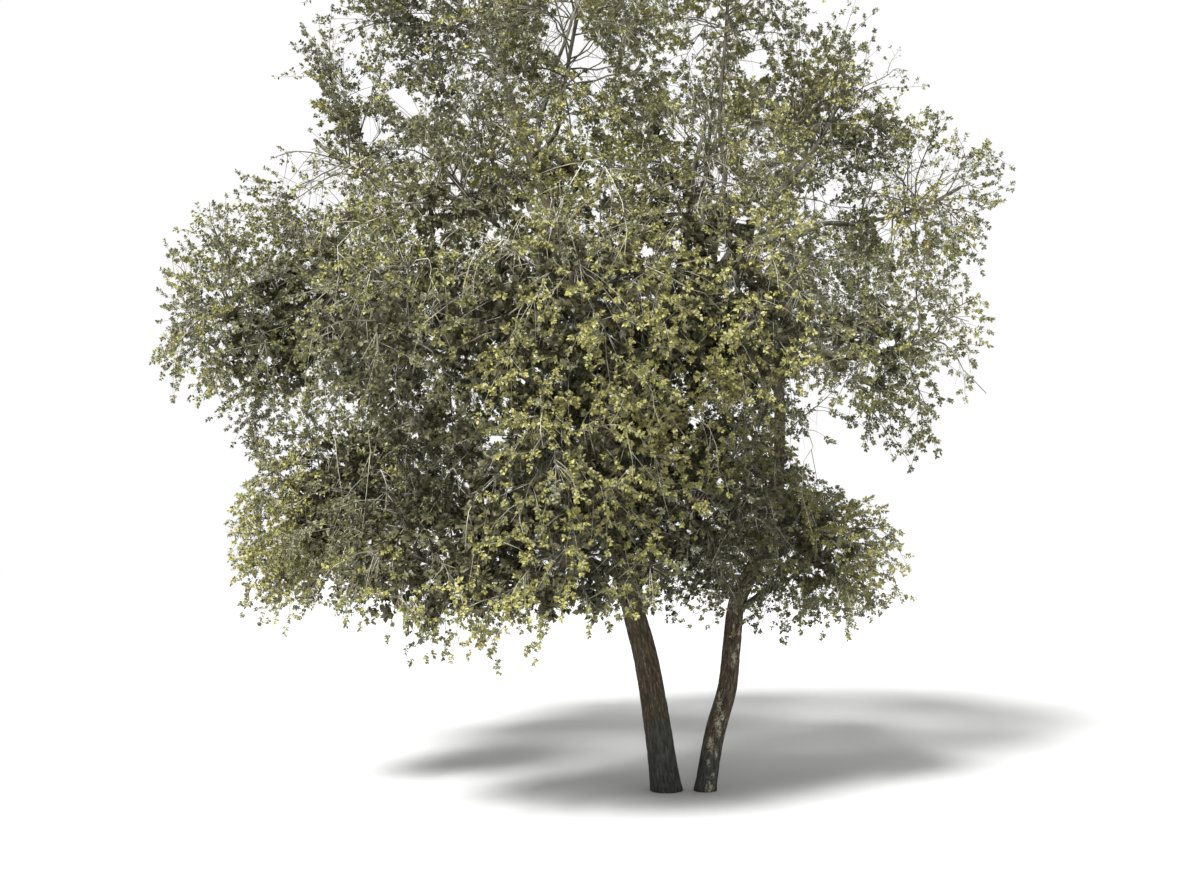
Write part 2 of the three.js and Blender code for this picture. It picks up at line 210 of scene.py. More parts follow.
def add_limb(name, line, radius, rings, sides, wider=None):
    """A limb in its bark: a sheet, rolled round the limb's line and closed at its ends. rings are the
    shares of the line at which it is rolled, and radius and wider give its thickness."""
    bpy.ops.mesh.primitive_grid_add(x_subdivisions=sides, y_subdivisions=len(rings) - 1, size=1)
    limb = bpy.context.object
    limb.name = name + "_bark"
    sheet = np.array([corner.co for corner in limb.data.vertices])
    angle = TURN * np.rint((sheet[:, 0] + 0.5) * sides) / sides
    ring = np.rint((sheet[:, 1] + 0.5) * (len(rings) - 1)).astype(int)
    centres, across, over = carried_frames(line, rings)
    out = across[ring] * np.cos(angle)[:, None] + over[ring] * np.sin(angle)[:, None]
    thick = np.array([radius(share) for share in rings])[ring]
    if wider:
        thick = thick * (1 + wider(out, centres[ring]))
    run = (np.array(rings) * line.length)[ring]
    straight = np.column_stack([thick * np.cos(angle), thick * np.sin(angle), run])
    relief = np.array([bark_relief(place, wood) for place, wood in zip(straight, thick)])
    points = centres[ring] + out * (thick + relief)[:, None]
    limb.data.vertices.foreach_set("co", points.astype(np.float32).ravel())
    grain = limb.data.attributes.new("along_the_grain", "FLOAT_VECTOR", "POINT")
    grain.data.foreach_set("vector", straight.astype(np.float32).ravel())
    bpy.ops.object.mode_set(mode="EDIT")
    bpy.ops.mesh.select_all(action="SELECT")
    bpy.ops.mesh.remove_doubles(threshold=SEAM)
    bpy.ops.mesh.fill_holes(sides=0)
    bpy.ops.mesh.normals_make_consistent(inside=False)
    bpy.ops.object.mode_set(mode="OBJECT")
    bpy.ops.object.location_clear()
    bpy.ops.object.shade_smooth()
    return limb


def cut_at_ground(limb):
    bpy.ops.object.mode_set(mode="EDIT")
    bpy.ops.mesh.select_all(action="SELECT")
    bpy.ops.mesh.bisect(plane_co=(0, 0, 0), plane_no=(0, 0, 1), use_fill=True, clear_inner=True)
    bpy.ops.object.mode_set(mode="OBJECT")


def add_node(tree, kind, settings=(), **inputs):
    """A node with its settings and its inputs, each a link from a socket or a value. Inputs go by name,
    or by number as i0, i1 and so on."""
    made = tree.nodes.new(kind)
    for key, value in dict(settings).items():
        setattr(made, key, value)
    for key, value in inputs.items():
        socket = made.inputs[int(key[1:])] if key[1:].isdigit() else made.inputs[key.replace("_", " ")]
        if isinstance(value, bpy.types.NodeSocket):
            tree.links.new(value, socket)
        else:
            socket.default_value = value
    return made


def mix_colours(tree, share, first, second):
    made = add_node(tree, "ShaderNodeMix", {"data_type": "RGBA"}, i0=share, i6=first, i7=second)
    return made.outputs[2]


def stretched(tree, value, low, high):
    """A value taken from low to high and spread over 0 to 1."""
    made = add_node(tree, "ShaderNodeMapRange", i0=value, i1=low, i2=high)
    return made.outputs[0]


def clouds(tree, place, **settings):
    """Cloudy values over a surface."""
    return add_node(tree, "ShaderNodeTexNoise", Vector=place, **settings).outputs[0]


def bump_of(tree, height, strength, distance):
    return add_node(tree, "ShaderNodeBump", Height=height, Strength=strength, Distance=distance).outputs[0]


def calculate(tree, operation, first, second):
    made = add_node(tree, "ShaderNodeMath", {"operation": operation}, i0=first, i1=second)
    return made.outputs[0]


def new_group(name, inputs, outputs):
    """A shader node group, with its inputs as (name, socket type, value) and outputs as (name, type)."""
    group = bpy.data.node_groups.new(name, "ShaderNodeTree")
    for label, kind, value in inputs:
        socket = group.interface.new_socket(name=label, in_out="INPUT", socket_type=kind)
        if value is not None:
            socket.default_value = value
    for label, kind in outputs:
        group.interface.new_socket(name=label, in_out="OUTPUT", socket_type=kind)
    entry = group.nodes.new("NodeGroupInput").outputs
    leave = group.nodes.new("NodeGroupOutput").inputs
    return group, entry, leave


def place_group(tree, group, **inputs):
    return add_node(tree, "ShaderNodeGroup", {"node_tree": group}, **inputs).outputs


def new_material(name, roughness):
    """A material with its node tree and its shader's inputs."""
    material = bpy.data.materials.new(name)
    material.use_nodes = True
    shader = material.node_tree.nodes["Principled BSDF"].inputs
    shader["Roughness"].default_value = roughness
    return material, material.node_tree, shader


# The grain of bark: ridges and furrows that run along the limb, scattered pale flecks, and large patches.
bark_grain, entry, leave = new_group(
    "bark_grain",
    [
        ("Place", "NodeSocketVector", None), ("Furrows", "NodeSocketFloat", 45),
        ("Flecks", "NodeSocketFloat", 60),
    ],
    [("Ridge", "NodeSocketFloat"), ("Fleck", "NodeSocketFloat"), ("Patch", "NodeSocketFloat")],
)
GRAIN_STRETCH = (1, 1, 0.2)
along = add_node(bark_grain, "ShaderNodeMapping", i0=entry["Place"], i3=GRAIN_STRETCH).outputs[0]
ridge = clouds(bark_grain, along, Scale=entry["Furrows"], Detail=5, Roughness=0.62, Distortion=0.4)
fleck = clouds(bark_grain, along, Scale=entry["Flecks"], Detail=3, Roughness=0.7)
patch = clouds(bark_grain, entry["Place"], Scale=6, Detail=3)
for label, cloud, low, high in (
    ("Ridge", ridge, 0.38, 0.64), ("Fleck", fleck, 0.56, 0.66), ("Patch", patch, 0.35, 0.65),
):
    bark_grain.links.new(stretched(bark_grain, cloud, low, high), leave[label])

BARK_ROUGHNESS = 0.92
BARK_GLOSS = 0.2
BARK_BUMP = 0.9
FLECK_COVER = 0.7


def bark_material(name, furrow, ridge, fleck, height=0.006, furrows=75, flecks=110):
    """Rough bark: dark in its furrows, paler on its ridges, with flecks of grey. Returns the material, its
    node tree, the colour so far and the grain, for what a limb adds to it."""
    material, tree, shader = new_material(name, BARK_ROUGHNESS)
    place = add_node(tree, "ShaderNodeAttribute", {"attribute_name": "along_the_grain"}).outputs["Vector"]
    grain = place_group(tree, bark_grain, Place=place, Furrows=furrows, Flecks=flecks)
    colour = mix_colours(tree, grain["Ridge"], furrow, ridge)
    colour = mix_colours(tree, calculate(tree, "MULTIPLY", grain["Fleck"], FLECK_COVER), colour, fleck)
    shader["Specular IOR Level"].default_value = BARK_GLOSS
    tree.links.new(bump_of(tree, grain["Ridge"], BARK_BUMP, height), shader["Normal"])
    return material, tree, colour, grain


STEM_FURROW = (0.03, 0.023, 0.017, 1)
STEM_RIDGE = (0.125, 0.094, 0.068, 1)
STEM_FLECK = (0.29, 0.26, 0.19, 1)
CHARCOAL_FURROW = (0.034, 0.035, 0.032, 1)
CHARCOAL_RIDGE = (0.098, 0.1, 0.09, 1)
CHARCOAL_RAG = 1.5  # how ragged the charcoal's edge is
CHARCOAL_FADE = (0.08, 0.1)  # how far below and above its edge it fades
OLIVE_FILM = (0.085, 0.078, 0.035, 1)
FILM_COVER = 0.35


def add_charcoal(tree, colour, grain, top):
    """The stem's foot is nearly black up to a ragged edge, where the brown bark begins."""
    place = add_node(tree, "ShaderNodeTexCoord").outputs["Object"]
    height = add_node(tree, "ShaderNodeSeparateXYZ", Vector=place).outputs["Z"]
    rag = clouds(tree, place, Scale=7, Detail=4, Roughness=0.6)
    wander = calculate(tree, "MULTIPLY", calculate(tree, "SUBTRACT", rag, 0.5), CHARCOAL_RAG)
    ragged = calculate(tree, "ADD", height, wander)
    below, above = CHARCOAL_FADE
    brown = stretched(tree, ragged, top - below, top + above)
    charcoal = mix_colours(tree, grain["Ridge"], CHARCOAL_FURROW, CHARCOAL_RIDGE)
    return mix_colours(tree, brown, charcoal, colour), place


def finish_bark(material, colour):
    tree = material.node_tree
    tree.links.new(colour, tree.nodes["Principled BSDF"].inputs["Base Color"])
    return material


BARE_HEIGHT = 1.3  # the stems are bare up to here, and leaves hide them above
FINE_RING = 0.013  # height of a row of faces there
COARSE_RING = 0.04  # and above


def stem_rings(line):
    bare = np.arange(0, BARE_HEIGHT, FINE_RING)
    hidden = np.arange(BARE_HEIGHT, line.length, COARSE_RING)
    return np.concatenate([bare, hidden, [line.length]]) / line.length


limbs = {}

main_line = smooth_line([
    (0.008, 0, -0.06), (-0.062, 0, 0.46), (-0.128, -0.005, 0.84), (-0.204, 0, 1.14), (-0.304, 0.01, 1.59),
    (-0.4, 0.01, 2.18), (-0.505, 0.04, 2.84), (-0.655, 0.08, 3.53), (-0.85, 0.1, 4.06), (-1.01, 0.11, 4.56),
])
main_radius = taper(foot=0.097, tip=0.026, power=0.8)
limbs["main_stem"] = SimpleNamespace(line=main_line, radius=main_radius)
main_flare = root_flare(share=0.14, height=0.08, toes=[20, 130, 250])
main_rings = stem_rings(main_line)
main_stem = add_limb("main_stem", main_line, main_radius, main_rings, sides=120, wider=main_flare)
cut_at_ground(main_stem)

main_bark, tree, colour, grain = bark_material("main_stem_bark", STEM_FURROW, STEM_RIDGE, STEM_FLECK)
film = calculate(tree, "MULTIPLY", grain["Patch"], FILM_COVER)
colour = mix_colours(tree, film, colour, OLIVE_FILM)
colour, _ = add_charcoal(tree, colour, grain, top=0.44)
main_stem.data.materials.append(finish_bark(main_bark, colour))
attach(main_stem, "root")
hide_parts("main_stem")

# Second stem
# The thinner stem leaves the same root a hand's breadth to the right and bends up and outwards. Its bark
# is the main stem's, with patches of pale grey-green lichen on the side that faces the viewer.
LICHEN = (0.47, 0.45, 0.33, 1)
LICHEN_PATCHES = [  # height, how far to the right it grows, as a share of the radius, and its reach
    (0.02, 0.3, 0.07), (0.3, -0.33, 0.05), (0.43, -0.1, 0.05), (0.47, 0.15, 0.035), (0.54, -0.5, 0.05),
    (0.6, -0.75, 0.03), (0.83, 0.3, 0.05), (0.91, 0.65, 0.035), (1.0, 0.6, 0.03), (1.04, -0.1, 0.02),
    (0.1, 0.45, 0.03), (0.18, -0.2, 0.03), (0.24, 0.4, 0.035), (0.37, 0.35, 0.03),
]
LICHEN_NARROW = (1.9, 1.9, 0.8)  # the patches are taller than wide
LICHEN_RAG = 4.2  # how ragged they are
LICHEN_EDGE = (2.85, 2.2)  # from where they begin to where they are whole
LICHEN_COVER = 0.9

lichen_patch, entry, leave = new_group(
    "lichen_patch",
    [
        ("Place", "NodeSocketVector", None), ("Centre", "NodeSocketVector", None),
        ("Reach", "NodeSocketFloat", 0.05), ("Grain", "NodeSocketFloat", 70),
    ],
    [("Cover", "NodeSocketFloat")],
)
VECTORS = "ShaderNodeVectorMath"
apart = add_node(lichen_patch, VECTORS, {"operation": "SUBTRACT"}, i0=entry["Place"], i1=entry["Centre"])
narrow = add_node(lichen_patch, VECTORS, {"operation": "MULTIPLY"}, i0=apart.outputs[0], i1=LICHEN_NARROW)
away = add_node(lichen_patch, VECTORS, {"operation": "LENGTH"}, i0=narrow.outputs[0])
near = calculate(lichen_patch, "DIVIDE", away.outputs["Value"], entry["Reach"])
crust = clouds(lichen_patch, entry["Place"], Scale=entry["Grain"], Detail=4, Roughness=0.75)
ragged = calculate(lichen_patch, "ADD", near, calculate(lichen_patch, "MULTIPLY", crust, LICHEN_RAG))
lichen_patch.links.new(stretched(lichen_patch, ragged, *LICHEN_EDGE), leave["Cover"])

second_line = smooth_line([
    (0.238, 0, -0.06), (0.312, 0, 0.35), (0.396, 0.005, 0.64), (0.432, 0.01, 0.93), (0.47, 0.02, 1.19),
    (0.6, 0.05, 1.45), (0.712, 0.08, 1.72), (0.77, 0.11, 2.15), (0.79, 0.15, 2.64), (0.85, 0.2, 3.12),
])
second_radius = taper(foot=0.067, tip=0.022, power=1.4)
limbs["second_stem"] = SimpleNamespace(line=second_line, radius=second_radius)
second_flare = root_flare(share=0.16, height=0.05, toes=[10, 120, 250])
second_rings = stem_rings(second_line)
second_stem = add_limb("second_stem", second_line, second_radius, second_rings, sides=84, wider=second_flare)
cut_at_ground(second_stem)

second_bark, tree, colour, grain = bark_material("second_stem_bark", STEM_FURROW, STEM_RIDGE, STEM_FLECK)
colour, place = add_charcoal(tree, colour, grain, top=0.27)
lower_half = np.linspace(0, 0.5, 200)
cover = 0
for height, right, patch_reach in LICHEN_PATCHES:
    share = min(lower_half, key=lambda s: abs(second_line.at(s)[2] - height))
    side = second_radius(share) * np.array([right, -math.sqrt(1 - right * right), 0])
    centre = second_line.at(share) + side
    lichen = place_group(tree, lichen_patch, Place=place, Centre=centre, Reach=patch_reach)
    cover = calculate(tree, "MAXIMUM", cover, lichen["Cover"])
cover = calculate(tree, "MULTIPLY", cover, LICHEN_COVER)
colour = mix_colours(tree, cover, colour, LICHEN)
second_stem.data.materials.append(finish_bark(second_bark, colour))
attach(second_stem, "root")
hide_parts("second_stem")

# Boughs
# Crooked limbs that leave the stems, or a thicker bough, and end in the masses of leaves. Their grey-brown
# bark is finer than the stems', and each swells into a collar where it leaves.
# The masses are placed by azimuth (0 to the right, 90 to the back) and reach from the crown's axis, and by
# height. Half sizes of the space come next: width, depth and rise. Then the limb that carries the bough,
# how far along it the bough leaves, and the bough's radius there, which is 0 for a mass on a stem's tip.
CROWN_AXIS_X = -0.56
SPACE_MARGIN = 0.008  # left free on each side of the plane between two masses
MASSES = [
    ("top_left", 170, 0.96, 5.3, 0.74, 0.78, 0.64, "main_stem", 1, 0),
    ("top_middle", 96, 0.36, 5.46, 0.71, 0.74, 0.64, "main_stem", 0.9, 0.026),
    ("top_right", -2, 1.01, 5.24, 0.78, 0.8, 0.67, "bough_right_shoulder", 0.6, 0.024),
    ("top_front", -92, 0.91, 4.45, 0.8, 0.71, 0.69, "main_stem", 0.86, 0.026),
    ("left_shoulder", 178, 1.56, 4.12, 0.74, 0.8, 0.76, "main_stem", 0.78, 0.034),
    ("right_shoulder", 2, 1.69, 4.42, 0.71, 0.8, 0.74, "main_stem", 0.46, 0.052),
    ("upper_front_left", -120, 1.37, 3.56, 0.74, 0.71, 0.69, "main_stem", 0.7, 0.03),
    ("upper_front_right", -60, 1.35, 3.56, 0.76, 0.71, 0.69, "bough_right_shoulder", 0.4, 0.03),
    ("upper_back_left", 122, 1.48, 4.7, 0.87, 0.78, 0.78, "main_stem", 0.74, 0.034),
    ("upper_back_right", 52, 1.6, 4.7, 0.87, 0.78, 0.78, "bough_right_shoulder", 0.5, 0.032),
    ("far_left", 181, 2.29, 3.02, 0.64, 0.8, 0.84, "bough_left", 0.6, 0.03),
    ("left", 180, 1.63, 3.3, 0.6, 0.87, 0.71, "main_stem", 0.5, 0.046),
    ("front_left", -122, 1.71, 2.62, 0.71, 0.69, 0.64, "main_stem", 0.54, 0.032),
    ("front", -90, 1.8, 2.76, 0.71, 0.64, 0.64, "main_stem", 0.6, 0.032),
    ("front_right", -56, 1.63, 2.84, 0.69, 0.67, 0.67, "second_stem", 0.82, 0.026),
    ("far_right", 3, 2.39, 3.86, 0.6, 0.74, 0.71, "bough_right_shoulder", 0.7, 0.028),
    ("right_hanging", -4, 2.14, 2.82, 0.6, 0.76, 0.71, "second_stem", 0.88, 0.026),
    ("back_left", 140, 2.18, 3.44, 0.83, 0.78, 0.8, "main_stem", 0.58, 0.036),
    ("back", 94, 1.86, 3.64, 0.83, 0.76, 0.8, "main_stem", 0.66, 0.034),
    ("back_right", 42, 2.15, 3.5, 0.83, 0.78, 0.78, "second_stem", 1, 0),
    ("skirt_left", -170, 1.6, 1.78, 0.6, 0.76, 0.59, "main_stem", 0.34, 0.034),
    ("skirt_front_left", -122, 1.48, 1.42, 0.67, 0.67, 0.58, "main_stem", 0.3, 0.028),
    ("skirt_front", -92, 1.44, 1.42, 0.6, 0.62, 0.55, "main_stem", 0.36, 0.028),
    ("front_hanging", -92, 1.69, 1.96, 0.64, 0.55, 0.53, "main_stem", 0.42, 0.028),
    ("skirt_front_right", -58, 1.24, 1.8, 0.6, 0.6, 0.56, "second_stem", 0.36, 0.022),
    ("skirt_right", -6, 1.57, 1.5, 0.54, 0.74, 0.54, "second_stem", 0.36, 0.026),
    ("skirt_back_right", 38, 1.75, 1.94, 0.64, 0.67, 0.58, "second_stem", 0.64, 0.024),
    ("skirt_back", 90, 1.54, 1.96, 0.78, 0.67, 0.62, "main_stem", 0.4, 0.032),
    ("skirt_back_left", 138, 1.77, 2.08, 0.71, 0.67, 0.62, "main_stem", 0.46, 0.03),
]
FIRST_SEED = 101
SEED_STEP = 17

masses = []
for index, (name, azimuth, reach, height, width, depth, rise, parent, leaves, girth) in enumerate(MASSES):
    way = math.radians(azimuth)
    centre = np.array([CROWN_AXIS_X + reach * math.cos(way), reach * math.sin(way), height])
    masses.append(SimpleNamespace(
        name=name, centre=centre, half=np.array([width, depth, rise]), parent=parent, leaves=leaves,
        girth=girth, seed=FIRST_SEED + SEED_STEP * index,
    ))

# The plane between two masses divides the way between their centres as their sizes do.
for mass in masses:
    others = [other for other in masses if other is not mass]
    mass.ways = np.array([unit(other.centre - mass.centre) for other in others])
    mine = 1 / np.linalg.norm(mass.ways / mass.half, axis=1)
    theirs = 1 / np.linalg.norm(mass.ways / np.array([other.half for other in others]), axis=1)
    whole = np.array([np.linalg.norm(other.centre - mass.centre) for other in others])
    mass.walls = whole * mine / (mine + theirs) - SPACE_MARGIN


AHEAD = 1e-6  # a neighbour that is less far round than this is never met


def space_reach(mass, along):
    """How far a mass's space reaches from its middle along a direction."""
    walls = mass.walls / np.maximum(mass.ways @ along, AHEAD)
    return min(1 / np.linalg.norm(along / mass.half), walls.min())


def seeded(seed):
    """Seeded numbers from 0 to 1, the same as in the part's source."""
    whole = 0xFFFFFFFF
    state = seed

    def draw():
        nonlocal state
        state = (state + 0x6D2B79F5) & whole
        t = state
        t = ((t ^ (t >> 15)) * (t | 1)) & whole
        t ^= (t + (t ^ (t >> 7)) * (t | 61)) & whole
        return ((t ^ (t >> 14)) & whole) / (whole + 1)

    return draw


BOUGH_END = 0.62  # where a bough ends, as a share of the way from its mass's middle to the edge
BOUGH_TIP = 0.42  # tip radius as a share of the radius where it leaves
BOUGH_TIP_LEAST = 0.011
BOUGH_FOLLOW = 0.5  # how much a bough first goes on along the limb that carries it
BOUGH_STRAIGHT = 0.75  # and how much straight to its tip
BOUGH_DROOP = 0.12  # how much its end turns down
BOUGH_ENDS = (0.36, 0.34)  # how far these two turns reach, as shares of its length
BOUGH_SWAY = 0.035  # how crooked it is, as a share of its length
BOUGH_NOD = 0.6  # how crooked upwards, as a share of that
BOUGH_WAVES = 1.5
BOUGH_SEED = 7
BOUGH_BENDS = 6
BOUGH_RING = 0.035  # height of one row of faces round a bough
BOUGH_SIDE = 0.0085  # width of one column
UP = np.array([0.0, 0.0, 1.0])


def bough_line(mass, parent):
    foot = parent.line.at(mass.leaves)
    onward = parent.line.heading(mass.leaves)
    back = unit(foot - mass.centre)
    tip = mass.centre + back * BOUGH_END * space_reach(mass, back)
    run = np.linalg.norm(tip - foot)
    out = unit(tip - foot)
    first_end, last_end = BOUGH_ENDS
    first = foot + unit(BOUGH_STRAIGHT * out + BOUGH_FOLLOW * onward) * run * first_end
    last = tip - unit(out - BOUGH_DROOP * UP) * run * last_end
    random = seeded(mass.seed + BOUGH_SEED)
    side = unit(np.cross(out, UP))
    phase = random() * TURN
    waves = BOUGH_WAVES + random()
    waypoints = []
    for share in np.linspace(0, 1, BOUGH_BENDS + 1):
        rest = 1 - share
        point = (
            rest**3 * foot + 3 * rest**2 * share * first + 3 * rest * share**2 * last + share**3 * tip
        )
        sway = BOUGH_SWAY * run * math.sin(math.pi * share)
        point = point + side * sway * math.sin(phase + waves * TURN * share)
        point = point + UP * BOUGH_NOD * sway * math.cos(phase + waves * TURN * share)
        waypoints.append(point)
    return smooth_line(waypoints)


COLLAR = 0.32  # how much wider a bough is where it leaves
COLLAR_RUN = 1.1  # how fast the collar dies away, in radii of the limb that carries it
COLLAR_FOOT = (0.9, 0.7)  # the widest at the very foot, in those radii, and how fast it may widen from there


def with_collar(radius, line, carrier):
    """A bough's radius with its collar, which stays inside the limb that carries it at the very foot."""
    widest, widening = COLLAR_FOOT

    def collared(share):
        run = share * line.length
        swell = 1 + COLLAR * math.exp(-run / (COLLAR_RUN * carrier))
        return min(radius(share) * swell, widest * carrier + widening * run)

    return collared


BOUGH_FURROW = (0.028, 0.024, 0.018, 1)
BOUGH_RIDGE = (0.09, 0.078, 0.057, 1)
BOUGH_FLECK = (0.18, 0.175, 0.125, 1)
bough_bark, tree, colour, grain = bark_material(
    "bough_bark", BOUGH_FURROW, BOUGH_RIDGE, BOUGH_FLECK, height=0.003, furrows=70, flecks=40
)
film = calculate(tree, "MULTIPLY", grain["Patch"], FILM_COVER)
finish_bark(bough_bark, mix_colours(tree, film, colour, BOUGH_FLECK))

waiting = list(masses)
while waiting:
    mass = next(mass for mass in waiting if mass.parent in limbs)
    waiting.remove(mass)
    parent = limbs[mass.parent]
    mass.limb = parent
    if mass.girth == 0:
        continue
    name = "bough_" + mass.name
    line = bough_line(mass, parent)
    radius = taper(mass.girth, max(mass.girth * BOUGH_TIP, BOUGH_TIP_LEAST))
    mass.limb = limbs[name] = SimpleNamespace(line=line, radius=radius)
    rings = np.linspace(0, 1, round(line.length / BOUGH_RING) + 1)
    sides = round(TURN * mass.girth / BOUGH_SIDE)
    bough = add_limb(name, line, with_collar(radius, line, parent.radius(mass.leaves)), rings, sides)
    bough.data.materials.append(bough_bark)
    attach(bough, "root")
    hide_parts(name)

# The crown's outline
# The crown is where the masses are near enough, with a surface of tufts. It swells and hollows as in the
# photo, hangs ragged at its underside, and is open along the sight lines where the photo shows sky.
FIELD_REACH = 1.4  # how far the nearness to a mass counts, in sizes of the mass
SKIN = 0.2  # the nearness at the skin of a mass that stands alone
TUFT = 0.3  # size of the tufts that the crown's surface is made of
TUFT_EDGE = 1.5  # how sharply they stand out
TUFT_GAP = ((3.5, 5.0), (0.32, 0.6))  # how much further in the surface lies between them, at two heights
EDGES = ((-3.4, -2.9, 1.6, 2.2), (0.5, 0.0, 0.0, 0.3))  # how much thinner it grows far left and right
# Where the crown grows further out, or less far: middle, size, and how much nearer that counts.
SWELLINGS = [
    ((-2.42, -0.3, 1.42), 0.45, 0.5), ((-2.3, -0.3, 2.35), 0.5, 0.4), ((-1.35, -1.95, 1.78), 0.55, -0.9),
    ((-1.95, 0.0, 4.85), 0.65, 0.9), ((0.14, -1.1, 2.45), 0.7, 0.6), ((-0.45, -0.8, 3.85), 0.5, 0.4),
    ((0.1, -0.85, 1.3), 0.4, 0.5), ((-2.55, 0.0, 4.2), 0.5, -0.8), ((1.35, -0.2, 2.05), 0.4, -0.7),
    ((1.12, -0.2, 2.14), 0.38, -0.8), ((0.55, -0.4, 2.25), 0.4, 0.7), ((1.6, 0.0, 4.8), 0.45, -0.5),
    ((-2.95, -0.3, 2.2), 0.4, -0.6), ((-2.9, 0.0, 3.45), 0.45, 0.4), ((1.6, -0.1, 2.32), 0.38, 0.9),
    ((1.9, -0.1, 2.6), 0.42, -0.9), ((1.42, 1.1, 2.25), 0.5, -0.7), ((0.15, 0.5, 1.35), 0.65, 0.6),
    ((1.62, -0.1, 1.55), 0.42, -0.8), ((1.75, 0.0, 4.45), 0.35, -0.6), ((2.15, 0.0, 4.15), 0.3, 0.7),
    ((-3.2, 0.0, 2.75), 0.3, 0.7), ((0.15, 0.2, 2.5), 0.6, 0.7), ((-1.2, 0.2, 2.4), 0.6, 0.7),
    ((-0.2, 1.2, 2.7), 0.7, 0.6), ((0.69, -0.35, 2.38), 0.27, 0.7), ((-2.55, 0.0, 4.6), 0.4, -0.7),
    ((1.17, -0.1, 2.56), 0.22, 0.7), ((1.3, -0.2, 1.86), 0.22, 0.4), ((-0.6, -0.8, 2.3), 0.7, 0.5),
    ((-0.6, 0.7, 2.4), 0.7, 0.6), ((-2.6, -0.1, 3.8), 0.35, 0.8), ((0.65, -0.5, 1.15), 0.35, 0.6),
    ((1.27, -0.1, 2.42), 0.26, 0.7), ((1.45, -0.1, 2.25), 0.25, 0.7), ((-1.35, 0.2, 3.5), 0.7, 0.6),
    ((0.5, 0.3, 3.3), 0.7, 0.6), ((-0.45, 0.4, 4.2), 0.7, 0.4), ((-2.3, -0.5, 1.2), 0.3, 0.5),
    ((-0.93, -1.4, 0.97), 0.28, 0.7), ((-1.55, -1.2, 1.02), 0.28, 0.7), ((-1.65, -0.4, 2.5), 0.5, 0.5),
    ((-1.98, -0.3, 3.75), 0.4, 0.6), ((1.5, -0.1, 3.85), 0.35, 0.5), ((-0.9, -0.45, 2.85), 0.5, 0.4),
    ((-0.4, 0.6, 2.9), 0.5, 0.4),
]
PHOTO_MIDDLE = (597.5, 568)  # pixel that the viewer looks at level
SKY_GAPS = [  # gaps that the viewer sees the sky through, in pixels: place and radius
    (560, 3, 24), (575, 32, 24), (597, 56, 17), (604, 114, 14), (352, 60, 13), (352, 84, 12), (402, 91, 20),
    (366, 116, 20), (386, 132, 15), (415, 141, 14), (450, 172, 16), (450, 190, 14), (518, 212, 18),
    (432, 240, 13), (760, 48, 20), (732, 172, 15), (812, 192, 15), (896, 224, 15), (725, 245, 18),
    (740, 290, 14), (420, 300, 12), (305, 372, 14), (286, 352, 11), (798, 394, 12), (812, 400, 11),
    (826, 403, 9), (821, 425, 12), (828, 448, 14), (840, 461, 9), (958, 425, 22), (264, 92, 30),
    (244, 138, 20), (284, 126, 12), (222, 128, 22), (264, 126, 17), (832, 478, 13), (818, 466, 11),
]
HEM = (  # how high the crown's underside is, from left to right
    (-2.5, -2.3, -2.15, -1.95, -1.5, -0.3, 0.0, 0.3, 0.9, 1.15, 1.4),
    (1.08, 1.1, 1.3, 1.3, 1.24, 1.22, 1.14, 1.02, 1.0, 1.12, 1.15),
)
HEM_WAVE = 0.06  # how much that wavers
TONGUES = (0.27, -0.13)  # leafy tongues hang from it: size, and how rare they are (below 0: common)
TONGUE_EDGE = 8  # how sharply they are cut
TONGUE_SLICE = 0.5  # the level of the noise that they follow
HANG = (  # how far they hang at a pixel of the picture's width
    (
        250, 275, 300, 320, 350, 365, 385, 400, 430, 452, 462, 475, 500, 512, 520, 535, 545, 560, 580,
        600, 615, 640, 740, 760, 790, 820, 850,
    ),
    (
        0.1, 0.2, 0.05, 0, 0.2, 0.15, 0.28, 0.24, 0.36, 0.34, 0, 0.3, 0.4, 0.36, 0.05, 0.34, 0.3, 0, 0.05,
        0.28, 0.1, 0, 0.05, 0.2, 0.1, 0.22, 0.1,
    ),
)
GOLDEN = math.pi * (3 - math.sqrt(5))


def even_directions(count, turn):
    """Directions spread evenly over a sphere, turned by an angle."""
    number = np.arange(count)
    z = 1 - (2 * number + 1) / count
    ring = np.sqrt(1 - z * z)
    return np.column_stack([ring * np.cos(GOLDEN * number + turn), ring * np.sin(GOLDEN * number + turn), z])


mass_centres = np.array([mass.centre for mass in masses])
mass_halves = np.array([mass.half for mass in masses])
swell_middles, swell_reaches, swell_counts = (np.array(column) for column in zip(*SWELLINGS))
gap_places = np.array(SKY_GAPS)[:, :2] - PHOTO_MIDDLE
gap_radii = np.array(SKY_GAPS)[:, 2]


